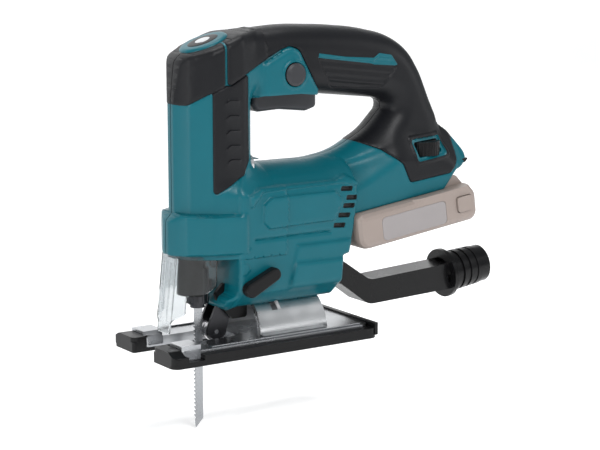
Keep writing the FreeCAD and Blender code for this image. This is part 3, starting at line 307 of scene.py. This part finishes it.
def head_height(d, x, z):
    """The front column: flat-sided, its sloping top running into the handle."""
    mix = smooth01((z - 98) / 12)
    plan = profile(x, LOWER_PLAN) * (1 - mix) + profile(x, UPPER_PLAN) * mix
    under_cap = CAP_Z + CAP_SLOPE * (x - CAP_X) - z
    under_handle = HANDLE_START_Z + HANDLE_START_SLOPE * (x - HANDLE_START_X) - z
    blend = smooth01((x + 20) / 20)
    top = eased(0.7, under_cap, 5, 2.2) * (1 - blend) + eased(0.3, under_handle, 13, 2.1) * blend
    off_hole = -d["hole"]
    beside_hole = np.where((z > 108) & (x > -16), dome(off_hole, 11, 2.1), 1.0)
    return raised(np.minimum(d["head"], off_hole), plan * np.minimum(top, beside_hole), HANDLE_HALF)


def collar_height(d, x):
    return raised(d["collar"], profile(x, COLLAR_PLAN) * eased(0.8, d["collar"], 2.5), COLLAR_HALF)


def motor_height(d, z):
    off_hole = np.where(z < 119, -d["hole"], 30)
    section = profile(z, MOTOR_SECTION) * eased(0.04, off_hole, 17)
    return raised(d["motor"], section * eased(0.86, d["motor"], 2.5), BODY_HALF)


def neck_height(d, x, z):
    """The saddle between hand hole and battery: it flares downward and closes round the rear end."""
    off_hole = -d["hole"]
    deep = -smax(z - profile(x, NECK_CREST), -(off_hole * 1.1 + 1), 14.0)
    flare = 7.0 + 17.2 * smooth01((deep + 2) / 30) ** 0.85
    rear = np.clip(x - TAIL_START, 0, TAIL_LENGTH) / TAIL_LENGTH
    tail = TAIL_HALF * np.sqrt(np.clip(1 - rear ** 4, 0.02, 1))
    height = np.minimum(flare, tail) * eased(0.9, d["neck"], 1.8) * eased(0.08, off_hole, 10)
    return raised(d["neck"], height, NECK_HALF)


def panel_height(d, x):
    """The trigger's side panel, which sinks into the front column."""
    height = PANEL_HALF - 2.2 * (1 - dome(d["panel"], 3.0)) - 9 * smooth01((5 - x) / 14)
    return raised(d["panel"], height, NECK_HALF)


def body_height(d, x, z):
    h = smax(handle_height(d), head_height(d, x, z), 5.0)
    h = smax(h, motor_height(d, z), 4.0)
    h = smax(h, neck_height(d, x, z), 7.0)
    h = smax(h, panel_height(d, x), 1.2)
    h = smax(h, collar_height(d, x), 1.2)
    return np.maximum(h, SEAM_HALF)


# ---------------------------------------------------------------- relief on the body's sides
def overmould_relief(regions, solid, edge):
    """Rubber stands proud of the shell, with a fine gap along its edges."""
    out = 0
    for d in (np.maximum(regions["handle"], regions["finger"]), regions["pad"]):
        out = out + 0.75 * ramp(d - 0.45, 0.5) * np.minimum(1, solid + 0.4).clip(0, 1)
        out = out - 0.4 * np.exp(-((d + 0.05) / 0.28) ** 2) * edge
    return out - 0.3 * np.exp(-(regions["finger"] / 0.4) ** 2) * (regions["handle"] > -1.2)


def groove_z(x):
    """Height of the long groove below the side panel."""
    return 71 - 0.12 * np.clip(x - 41, 0, 40)


def field_relief(x, z, h, edge):
    """Raised fields of the motor's side and the long groove."""
    d = {name: signed(np.stack([x, z], 1), curve) for name, curve in FIELDS.items()}
    flat = edge * smooth01((h - 24.5) / 2.0)
    out = 2.0 * ramp(d["panel"] - 0.35, 0.7) * flat
    out += 1.3 * ramp(d["step"] - 0.3, 0.9) * flat
    out += 1.2 * ramp(d["lower"] - 0.3, 0.9) * edge
    out += 2.0 * ramp(d["band"] - 0.4, 0.9) * smooth01(edge * 2) * smooth01((h - 16) / 4)
    groove = np.exp(-((z - groove_z(x)) / 0.6) ** 2)
    return out - 1.2 * groove * smooth01((x + 13) / 2) * smooth01((46 - x) / 2) * edge


def inset_relief(x, z, regions):
    """The ribbed hollow on the handle and the stripe above it."""
    d = regions["inset"]
    ribs = 0.4 * np.cos(2 * math.pi * (z + RIB_TILT * x) / RIB_PITCH)
    out = (-0.85 + ribs * smooth01((d - 0.6) / 0.8)) * ramp(d - 0.35, 0.5)
    return out + 0.5 * ramp(regions["stripe"] - 0.2, 0.4)


def ridge_line(k, x):
    """Start and hooked upper edge of the finger ridge number k."""
    start = RIDGE_X + RIDGE_STEP * k
    hook = 2.6 * np.clip((start + RIDGE_HOOK - x) / RIDGE_HOOK, 0, 1) ** 2
    return start, RIDGE_TOPS[k] - hook - 0.07 * (x - start)


def finger_relief(x, z, regions):
    lines = np.zeros(len(x))
    for k in range(len(RIDGE_TOPS)):
        start, top = ridge_line(k, x)
        reach = smooth01((x - start + 0.4) / 0.8) * smooth01((start + RIDGE_LENGTH - x) / 3)
        below = top - z
        fade = np.where(below > 0, np.exp(-below / 3.4), np.exp(-(below / 0.35) ** 2))
        lines = np.maximum(lines, reach * fade)
    return 0.95 * lines * ramp(regions["finger"] - 1.2, 0.8)


def mark_relief(x, z, start, end):
    """One raised dash beside the orbit lever."""
    (a, b), (c, e) = start, end
    t = np.clip(((x - a) * (c - a) + (z - b) * (e - b)) / ((c - a) ** 2 + (e - b) ** 2), 0, 1)
    return 0.4 * np.exp(-(np.hypot(x - a - t * (c - a), z - b - t * (e - b)) / 0.45) ** 4)


def left_relief(x, z, regions):
    """Dial frame, lock ring, lever boss and marks, which only the left side has."""
    out = 0.9 * ramp(regions["dial_frame"] - 0.4, 0.8)
    out -= 1.3 * ramp(regions["dial_ring"] - 0.3, 0.5)
    out += 0.75 * np.exp(-((np.hypot(x - LOCK[0], z - LOCK[1]) - LOCK_RING) / 0.75) ** 4)
    out += 0.5 * ramp(BOSS_R - np.hypot(x - BOSS[0], z - BOSS[1]), 0.5)
    for start, end in MARKS:
        out += mark_relief(x, z, start, end)
    return out


def pad_crease(x, z, regions):
    """The upright edge between the head pad's front and side."""
    crease = (x + 46.2) - 0.02 * (z - 150)
    return 0.5 * np.exp(-np.abs(crease) / 0.7) * ramp(regions["pad"] - 0.8, 0.8)


def side_height(p, near, region_curves):
    """The half-width of one side with all its relief."""
    x, z = p[:, 0], p[:, 1]
    d = curve_distances(p)
    solid = depth_inside(d)
    edge = smooth01(solid / 3.0)
    h = body_height(d, x, z)
    regions = {name: signed(p, curve) for name, curve in region_curves.items()}
    out = h + overmould_relief(regions, solid, edge) + field_relief(x, z, h, edge)
    out += inset_relief(x, z, regions) + finger_relief(x, z, regions)
    for vent in VENTS:
        out -= 2.4 * ramp(signed(p, vent) - 0.25, 0.4)
    if near:
        out += left_relief(x, z, regions)
    return np.maximum(out + pad_crease(x, z, regions), 0.3)


# ---------------------------------------------------------------- mesh of one side
def side_regions(near):
    return {name: curve for name, curve in REGIONS.items() if near or not name.startswith("dial")}


def side_holes(near):
    """Round holes as (outline, depth of their wall)."""
    if near:
        return [(circle(*LOCK, LOCK_HOLE), LOCK_DEPTH), (circle(*SELECT, SELECT_HOLE, 18), SELECT_DEPTH)]
    return [(circle(x, z, SCREW_HOLE, 20), SCREW_DEPTH) for x, z in SCREWS]


def grid_points():
    """Staggered points all over the side."""
    xs, zs = np.meshgrid(np.arange(-58, 170, 1.7), np.arange(22, 204, 1.7))
    xs = xs + 0.85 * (np.arange(zs.shape[0])[:, None] % 2)
    return [np.stack([xs.ravel(), zs.ravel()], 1)]


def rim_points():
    """Rows that follow the body's outline, closer together near it."""
    rows = []
    for curve in CURVES.values():
        for d in (0.06, 0.3, 0.8, 1.6, 2.8, 4.2, 6.0):
            for way in (1, -1):
                q = offset(curve, way * d)
                rows.append(q[np.abs(body_depth(q) - d) < 0.25 * d + 0.02])
    return rows


def border_points(near):
    """Rows on both sides of every colour border, field, ring and boss."""
    rows = []
    for curve in list(side_regions(near).values()) + VENTS:
        rows += [offset(curve, d) for d in (-0.65, -0.3, 0.25, 0.6)]
    for curve in FIELDS.values():
        rows += [offset(curve, d) for d in (-0.45, 0.0, 0.35, 0.8)]
    if near:
        rows += [circle(*LOCK, r, 40) for r in (7.6, 8.0, 8.6, 9.0, 9.6)]
        rows += [circle(*BOSS, r, 20) for r in (3.4, 3.8, 4.2)]
    return rows


def line_points():
    """Rows along the finger ridges, the inset's ribs and the long groove."""
    rows = []
    for k in range(len(RIDGE_TOPS)):
        x = np.arange(-29, -17, 0.7) + RIDGE_STEP * k
        rows += [np.stack([x, ridge_line(k, x)[1] - d], 1) for d in (-0.5, 0.0, 0.3, 0.7)]
    x = np.arange(42, 104, 1.3)
    for z in np.arange(150, 200, RIB_PITCH / 8):
        q = np.stack([x, z - RIB_TILT * x], 1)
        rows.append(q[signed(q, REGIONS["inset"]) > 0.5])
    x = np.arange(-14, 48, 1.5)
    rows += [np.stack([x, groove_z(x) + d], 1) for d in (-0.6, -0.25, 0.0, 0.25, 0.6)]
    return rows


def thinned(free, fixed, cell=0.5, spacing=0.22, clearance=0.03):
    """Free points without near-doubles and without those that lie on a fixed point."""
    grid = {}
    for q in fixed:
        grid.setdefault((int(q[0] // cell), int(q[1] // cell)), []).append(q)
    seen = set()
    kept = []
    for q in free:
        key = (round(q[0] / spacing), round(q[1] / spacing))
        if key in seen:
            continue
        cx, cz = int(q[0] // cell), int(q[1] // cell)
        near = [g for a in (-1, 0, 1) for b in (-1, 0, 1) for g in grid.get((cx + a, cz + b), [])]
        if near and min((g[0] - q[0]) ** 2 + (g[1] - q[1]) ** 2 for g in near) < clearance ** 2:
            continue
        seen.add(key)
        kept.append(tuple(q))
    return kept


def triangulated(rings, free):
    """Points and triangles of a plane mesh that keeps the rings as edges."""
    verts, edges = [], []
    for ring in rings:
        s = len(verts)
        verts += [tuple(q) for q in ring]
        edges += [(s + i, s + (i + 1) % len(ring)) for i in range(len(ring))]
    verts += thinned(free, verts)
    points, _, faces, *_ = delaunay_2d_cdt([Vector(v) for v in verts], edges, [], 0, 1e-4)
    return np.array([tuple(v) for v in points]), np.array([t for t in faces if len(t) == 3])


def region_names(centres, near):
    """The colour region of each triangle."""
    name = np.full(len(centres), "shell", object)
    layers = [(REGIONS[key], key) for key in ("handle", "pad", "finger")]
    if near:
        layers += [(REGIONS["dial_frame"], "handle"), (REGIONS["dial_ring"], "shell")]
    layers.append((REGIONS["stripe"], "stripe"))
    layers += [(vent, "vent") for vent in VENTS]
    for curve, label in layers:
        name[signed(centres, curve) > 0] = label
    return name


def side_mesh(near, holes):
    """Points (x, z), triangles and a region name per triangle."""
    rings = list(CURVES.values()) + list(side_regions(near).values()) + VENTS + holes
    free = np.concatenate(grid_points() + rim_points() + border_points(near) + line_points())
    p, f = triangulated(rings, free[body_depth(free) > 0.04])
    centres = p[f].mean(1)
    wanted = body_depth(centres) > 0
    for ring in holes + ([REGIONS["dial"]] if near else []):
        wanted &= signed(centres, ring) < 0
    f = f[wanted]
    return p, f, region_names(centres[wanted], near)


def open_to(x, z):
    """How far from the middle plane the closing strip stops at a boundary point, in mm."""
    u = (x - RAIL_X) * math.cos(RAIL_TILT) + (z - RAIL_Z) * math.sin(RAIL_TILT)
    v = -(x - RAIL_X) * math.sin(RAIL_TILT) + (z - RAIL_Z) * math.cos(RAIL_TILT)
    blade_head = z < 64 and -49.5 < x < -21.9
    if blade_head:
        return 13.4 if x > -48.6 and z > 60 else SEAM_HALF
    if z < 30.5 and -30 < x < 60:
        return math.sqrt(SADDLE_CLEAR ** 2 - (z - TILT_Z) ** 2)
    if z < 43 and x < -15:
        return 9.7
    nozzle_socket = 36 < z < 47.5 and x > 44
    if nozzle_socket:
        return 10.5
    trigger_slot = 149 < z < 163 and -1.5 < x < 50
    if trigger_slot:
        return 9.4
    if x > 136 and v < 14.6:
        return CHANNEL_HALF if v < 7.4 else RECEIVER_HALF
    if u > 45.5 and -3 < v < 2:
        return CHANNEL_HALF
    return SEAM_HALF


def facing_out(p, f, near):
    """Triangles wound so that their front looks away from the middle plane."""
    a, b, c = p[f[:, 0]], p[f[:, 1]], p[f[:, 2]]
    cross = (b[:, 0] - a[:, 0]) * (c[:, 1] - a[:, 1]) - (b[:, 1] - a[:, 1]) * (c[:, 0] - a[:, 0])
    flip = cross < 0 if near else cross > 0
    f = f.copy()
    f[flip] = f[flip][:, ::-1]
    return f


def boundary_edges(f):
    """Edges of one triangle only, each with that triangle's number."""
    found = {}
    for i, t in enumerate(f):
        for k in range(3):
            e = (t[k], t[(k + 1) % 3])
            key = (min(e), max(e))
            found[key] = None if key in found else (e, i)
    return [item for item in found.values() if item is not None]


def wall_depth(middle, near, holes):
    """Depth of the hole wall that starts at a boundary edge, or None on the outer boundary."""
    on_edge = 0.3
    depth = None
    for ring, hole_depth in holes:
        if abs(signed(middle[None], ring)[0]) < on_edge:
            depth = hole_depth
    if near and abs(signed(middle[None], REGIONS["dial"])[0]) < on_edge:
        depth = DIAL_DEPTH
    return depth


class Walls:
    """Strips from the side's boundary toward the middle plane, built column by column."""

    def __init__(self, p, y, sign):
        self.p = p
        self.y = y
        self.sign = sign
        self.verts = [tuple(v) for v in np.stack([p[:, 0], sign * y, p[:, 1]], 1) * MM]
        self.columns = {}

    def column(self, n, depth):
        """Vertex numbers from boundary point n down to where its strip stops."""
        key = (n, depth)
        if key not in self.columns:
            (x, z), top = self.p[n], self.y[n]
            stop = depth if depth else min(open_to(x, z), top - 0.05)
            steps = 5 if top - stop > 6 else 2
            rows = [n]
            for k in range(1, steps + 1):
                self.verts.append((x * MM, self.sign * (top + (stop - top) * k / steps) * MM, z * MM))
                rows.append(len(self.verts) - 1)
            self.columns[key] = rows
        return self.columns[key]

    def quads(self, i, j, depth):
        """Faces between the columns of two neighbouring boundary points."""
        a, b = self.column(i, depth), self.column(j, depth)
        out = []
        for k in range(max(len(a), len(b)) - 1):
            a0, a1 = a[min(k, len(a) - 1)], a[min(k + 1, len(a) - 1)]
            b0, b1 = b[min(k, len(b) - 1)], b[min(k + 1, len(b) - 1)]
            quad = [a0, a1, b1, b0]
            quad = [q for n, q in enumerate(quad) if q not in quad[:n]]
            if len(quad) > 2:
                out.append(tuple(quad))
        return out


# ---------------------------------------------------------------- materials
def nodes_of(name):
    m = bpy.data.materials.new(name)
    m.use_nodes = True
    nt = m.node_tree
    return m, nt, nt.nodes["Principled BSDF"]


def noise(nt, coord, scale, detail=4, stretch=None):
    n = nt.nodes.new("ShaderNodeTexNoise")
    n.inputs["Scale"].default_value = scale
    n.inputs["Detail"].default_value = detail
    if stretch:
        mapping = nt.nodes.new("ShaderNodeMapping")
        mapping.inputs["Scale"].default_value = stretch
        nt.links.new(coord, mapping.inputs["Vector"])
        coord = mapping.outputs["Vector"]
    nt.links.new(coord, n.inputs["Vector"])
    return n.outputs["Fac"]


def spread(nt, fac, low, high):
    r = nt.nodes.new("ShaderNodeMapRange")
    r.inputs["From Min"].default_value = 0.3
    r.inputs["From Max"].default_value = 0.7
    r.inputs["To Min"].default_value = low
    r.inputs["To Max"].default_value = high
    nt.links.new(fac, r.inputs["Value"])
    return r.outputs["Result"]


def bumped(nt, shader, height, strength, distance):
    b = nt.nodes.new("ShaderNodeBump")
    b.inputs["Strength"].default_value = strength
    b.inputs["Distance"].default_value = distance
    nt.links.new(height, b.inputs["Height"])
    nt.links.new(b.outputs["Normal"], shader.inputs["Normal"])


def surface(name, color, rough, metal=0.0, grain=1400.0, bump=0.15, wear=0.04, tint=0.06, stretch=None,
            spec=0.5):
    """A Principled surface with fine grain, patchy roughness and a faint colour drift."""
    m, nt, p = nodes_of(name)
    tc = nt.nodes.new("ShaderNodeTexCoord").outputs["Object"]
    p.inputs["Metallic"].default_value = metal
    p.inputs["Specular IOR Level"].default_value = spec
    patch = noise(nt, tc, 38.0, 5)
    nt.links.new(spread(nt, patch, max(rough - wear, 0.02), rough + wear), p.inputs["Roughness"])
    mix = nt.nodes.new("ShaderNodeMix")
    mix.data_type = "RGBA"
    mix.inputs["A"].default_value = (*[c * (1 - tint) for c in color], 1)
    mix.inputs["B"].default_value = (*[min(1, c * (1 + tint)) for c in color], 1)
    nt.links.new(noise(nt, tc, 90.0, 6, stretch), mix.inputs["Factor"])
    nt.links.new(mix.outputs["Result"], p.inputs["Base Color"])
    bumped(nt, p, noise(nt, tc, grain, 3, stretch), bump, 0.0002)
    return m


def clear_plastic(name, color, rough):
    """A see-through moulding with soft ripples."""
    m, nt, p = nodes_of(name)
    tc = nt.nodes.new("ShaderNodeTexCoord").outputs["Object"]
    p.inputs["Base Color"].default_value = (*color, 1)
    p.inputs["Transmission Weight"].default_value = 1.0
    p.inputs["IOR"].default_value = 1.35
    nt.links.new(spread(nt, noise(nt, tc, 60.0, 4), rough * 0.6, rough * 1.4), p.inputs["Roughness"])
    bumped(nt, p, noise(nt, tc, 160.0, 2), 0.12, 0.0003)
    return m


teal = surface("teal_plastic", (0.0004, 0.094, 0.122), 0.36, grain=2600, bump=0.10, spec=0.26)
rubber = surface("soft_black", (0.0062, 0.0066, 0.0082), 0.42, grain=2200, bump=0.25, wear=0.05, spec=0.2)
hard_black = surface("hard_black", (0.0045, 0.0045, 0.005), 0.36, grain=1700, bump=0.12, spec=0.18)
gloss_black = surface("gloss_black", (0.0045, 0.0045, 0.005), 0.28, grain=1200, bump=0.05, spec=0.2)
vent_black = surface("vent_black", (0.006, 0.007, 0.008), 0.6, grain=1500, bump=0.1)
trigger_grey = surface("trigger_grey", (0.024, 0.025, 0.029), 0.45, grain=2000, bump=0.2, spec=0.35)
steel = surface("bright_steel", (0.38, 0.38, 0.39), 0.26, metal=1.0, grain=500, bump=0.12,
                stretch=(1, 1, 14))
plate_steel = surface("plate_steel", (0.36, 0.37, 0.385), 0.28, metal=1.0, grain=320, bump=0.16,
                      stretch=(0.4, 9, 4))
dark_steel = surface("dark_steel", (0.05, 0.05, 0.054), 0.36, metal=1.0, grain=700, bump=0.12)
aluminium = surface("cast_aluminium", (0.62, 0.63, 0.64), 0.3, metal=1.0, grain=900, bump=0.18, wear=0.07)
copper = surface("coil_copper", (0.72, 0.3, 0.12), 0.3, metal=1.0, grain=800, bump=0.1)
bronze = surface("bush_bronze", (0.5, 0.32, 0.14), 0.42, metal=1.0, grain=1500, bump=0.2)
board = surface("board_green", (0.02, 0.13, 0.06), 0.35, grain=600, bump=0.05)
taupe = surface("pack_taupe", (0.26, 0.213, 0.19), 0.45, grain=2300, bump=0.15, tint=0.03)
label_grey = surface("label_grey", (0.255, 0.235, 0.235), 0.4, grain=900, bump=0.05)
cell_wrap = surface("cell_wrap", (0.05, 0.14, 0.28), 0.3, grain=700, bump=0.05)
clear = clear_plastic("clear_cover", (0.6, 0.63, 0.645), 0.16)

LOOKS = {
    steel: ["housing_screws", "gear_axle", "axle_clip", "motor_bearings", "pivot_pins", "rotor_shaft",
            "drive_gear", "crank_pin", "plunger_rod", "roller_pin", "guide_roller", "saddle_screws",
            "bevel_bolt"],
    plate_steel: ["base_plate", "blade"],
    aluminium: ["gear_plate", "motor_bracket", "bevel_saddle", "rating_plate"],
    dark_steel: ["stator", "rotor_core", "guide_frame", "blade_clamp", "clamp_sleeve", "roller_holder"],
    copper: ["stator_coils"],
    bronze: ["guide_bushes"],
    board: ["circuit_boards"],
    clear: ["lamp_lens", "dust_cover"],
    taupe: ["battery_case", "battery_lid", "battery_button_left", "battery_button_right"],
    label_grey: ["battery_labels"],
    cell_wrap: ["battery_cells"],
    gloss_black: ["dust_nozzle", "nozzle_cuff"],
    hard_black: ["sole_cover", "roller_bracket", "speed_dial", "selector_lever", "fan", "opener",
                 "rail_receiver", "contact_block", "dust_channel", "switch_unit"],
    trigger_grey: ["trigger", "lock_button"],
}
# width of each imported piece's edge bevel, mm
BEVELS = {
    "base_plate": 0.5, "sole_cover": 0.6, "battery_case": 0.7, "battery_lid": 0.5,
    "battery_button_left": 0.6, "battery_button_right": 0.6, "dust_nozzle": 1.2, "nozzle_cuff": 0.45,
    "selector_lever": 0.5, "opener": 0.3, "roller_holder": 0.4, "bevel_saddle": 0.35,
    "dust_cover": 0.35, "lock_button": 0.8, "blade_clamp": 0.3, "roller_bracket": 0.3,
    "clamp_sleeve": 0.2, "guide_roller": 0.3, "speed_dial": 0.15, "trigger": 0.3,
    "rating_plate": 0.2, "dust_channel": 0.3, "guide_frame": 0.4, "switch_unit": 0.5, "blade": 0.05,
}


def paint_packed_pieces():
    for material, names in LOOKS.items():
        for n in names:
            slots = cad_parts[n].data.materials
            slots.clear()
            slots.append(material)


def shade(me, degrees=28):
    """Smooth shading that stays crisp where faces meet at more than the angle."""
    bm = bmesh.new()
    bm.from_mesh(me)
    sharp = [len(e.link_faces) != 2 or e.calc_face_angle(0) > math.radians(degrees) for e in bm.edges]
    bm.free()
    me.polygons.foreach_set("use_smooth", [True] * len(me.polygons))
    me.edges.foreach_set("use_edge_sharp", sharp)


def bevel_packed_pieces():
    for n, width in BEVELS.items():
        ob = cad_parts[n]
        mod = ob.modifiers.new("edge", "BEVEL")
        mod.width = width * MM
        mod.segments = 2
        mod.limit_method = "ANGLE"
        mod.angle_limit = math.radians(32)
        mod.harden_normals = True
        shade(ob.data)


# ---------------------------------------------------------------- new pieces
def new_object(name, verts, faces, material, degrees):
    """A smooth piece of the housing with sharp edges where faces meet at more than the angle."""
    me = bpy.data.meshes.new(name)
    me.from_pydata(verts, [], faces)
    me.update()
    me.polygons.foreach_set("use_smooth", [True] * len(me.polygons))
    ob = bpy.data.objects.new(name, me)
    bpy.context.scene.collection.objects.link(ob)
    me.materials.append(material)
    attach(ob, "housing")
    bm = bmesh.new()
    bm.from_mesh(me)
    for e in bm.edges:
        if len(e.link_faces) != 2 or e.calc_face_angle(0) > math.radians(degrees):
            e.smooth = False
    bm.to_mesh(me)
    bm.free()
    return ob


# region of the side: name of the piece, material, colour slot
REGION_LOOKS = {
    "shell": ("shell", teal, "shell_teal"),
    "handle": ("handle_overmould", rubber, "soft_grip"),
    "pad": ("head_overmould", rubber, "soft_grip"),
    "finger": ("finger_pad", rubber, "soft_grip"),
    "stripe": ("handle_stripe", teal, "shell_teal"),
    "vent": ("vent_slots", vent_black, "shell_black"),
}


def body_side(near):
    """All pieces of one side of the body, by region."""
    holes = side_holes(near)
    p, f, name = side_mesh(near, [ring for ring, _ in holes])
    y = side_height(p, near, side_regions(near))
    f = facing_out(p, f, near)
    faces = {region: [] for region in REGION_LOOKS}
    for t, region in zip(f, name):
        faces[region].append(tuple(t))
    walls = Walls(p, y, -1 if near else 1)
    for (i, j), t in boundary_edges(f):
        depth = wall_depth((p[i] + p[j]) / 2, near, holes)
        faces["shell" if depth == DIAL_DEPTH else name[t]] += walls.quads(i, j, depth)
    made = {}
    for region, (title, material, slot) in REGION_LOOKS.items():
        used = sorted({n for face in faces[region] for n in face})
        index = {n: i for i, n in enumerate(used)}
        verts = [walls.verts[n] for n in used]
        own = [tuple(index[n] for n in face) for face in faces[region]]
        made[region] = new_object(f"{title}_{'left' if near else 'right'}", verts, own, material, 42)
    return made


def cap_patch(name, rx, ry, lift, drop, material):
    """A domed oval lying on the head's sloping top."""
    rings, count, brim = 10, 64, 0.86
    verts, faces = [], []
    for k in range(rings + 1):
        t = k / rings
        q = min(1.0, t / brim)
        rise = lift * (1 - 0.3 * q ** 6) - (drop * (t - brim) / (1 - brim) if t > brim else 0)
        for n in range(count):
            a = 2 * math.pi * n / count
            u = rx * q * math.cos(a)
            x = CAP_X + u * math.cos(CAP_TILT) - rise * math.sin(CAP_TILT)
            z = CAP_Z + u * math.sin(CAP_TILT) + rise * math.cos(CAP_TILT)
            verts.append((x * MM, ry * q * math.sin(a) * MM, z * MM))
    for k in range(rings):
        for n in range(count):
            a, b = k * count + n, k * count + (n + 1) % count
            faces.append((a, b, b + count, a + count))
    return new_object(name, verts, faces, material, 50)


paint_packed_pieces()
bevel_packed_pieces()
left = body_side(True)
right = body_side(False)
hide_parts("housing_left", "collar")
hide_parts("housing_right")
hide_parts("handle_grips")
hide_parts("head_pad")
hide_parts("front_grips")
cap = cap_patch("top_cap", 15.6, 14.8, 1.5, 3.4, teal)
cap_patch("top_cap_oval", 10.6, 9.8, 1.9, 1.4, hard_black)
cap_patch("top_cap_disc", 5.4, 5.2, 2.2, 1.2, aluminium)
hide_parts("head_cap")


# ---------------------------------------------------------------- camera, floor and light, m
CAMERA_PLACE = (-0.6143, -0.9818, 0.2886)
CAMERA_TARGET = (0.0404, 0, 0.0709)
FLOOR_Z = -0.052
WHITE_PAINT = (0.9, 0.9, 0.9)


def aimed(name, data, place, target):
    """A new object at a place, looking at the target."""
    ob = bpy.data.objects.new(name, data)
    bpy.context.scene.collection.objects.link(ob)
    ob.location = place
    ob.rotation_euler = (Vector(target) - ob.location).to_track_quat("-Z", "Y").to_euler()
    return ob


def camera():
    cam = bpy.data.cameras.new("camera")
    cam.lens = 112.3
    cam.sensor_width = 36
    cam.clip_end = 50
    return aimed("camera", cam, CAMERA_PLACE, CAMERA_TARGET)


def backdrop(name, corners, glow):
    """A pale faintly lit sheet."""
    me = bpy.data.meshes.new(name)
    me.from_pydata(corners, [], [(0, 1, 2, 3)])
    ob = bpy.data.objects.new(name, me)
    bpy.context.scene.collection.objects.link(ob)
    mat = surface(name + "_paint", WHITE_PAINT, 0.8, grain=60, bump=0.02, tint=0.004)
    shader = mat.node_tree.nodes["Principled BSDF"]
    shader.inputs["Emission Color"].default_value = (1, 1, 1, 1)
    shader.inputs["Emission Strength"].default_value = glow
    me.materials.append(mat)
    return ob


def area_light(name, place, target, size, power):
    data = bpy.data.lights.new(name, "AREA")
    data.shape = "RECTANGLE"
    data.size, data.size_y = size
    data.energy = power
    return aimed(name, data, place, target)


def sky():
    world = bpy.data.worlds.new("studio")
    world.use_nodes = True
    background = world.node_tree.nodes["Background"]
    background.inputs["Color"].default_value = (0.93, 0.97, 1, 1)
    background.inputs["Strength"].default_value = 0.28
    return world


bpy.context.scene.camera = camera()
bpy.context.scene.world = sky()
bpy.context.scene.view_settings.view_transform = "Standard"
floor = backdrop("floor", [(x, y, FLOOR_Z) for x, y in ((-5, -5), (5, -5), (5, 5), (-5, 5))], 0.36)
wall = backdrop("wall", [(x, 3.6, z) for x, z in ((-5, -0.06), (5, -0.06), (5, 4), (-5, 4))], 0.9)
lights = [
    area_light("key", (-0.2, -1.5, 1.3), (0, 0, 0.1), (0.8, 0.4), 22),
    area_light("front_strip", (-1.5, -0.5, 0.5), (-0.03, 0, 0.1), (0.15, 1.0), 9),
    area_light("rear_fill", (1.4, -0.8, 0.6), (0.05, 0, 0.1), (0.5, 0.9), 5),
    area_light("top", (0.1, 0.3, 1.7), (0, 0, 0.1), (1.2, 0.5), 16),
]
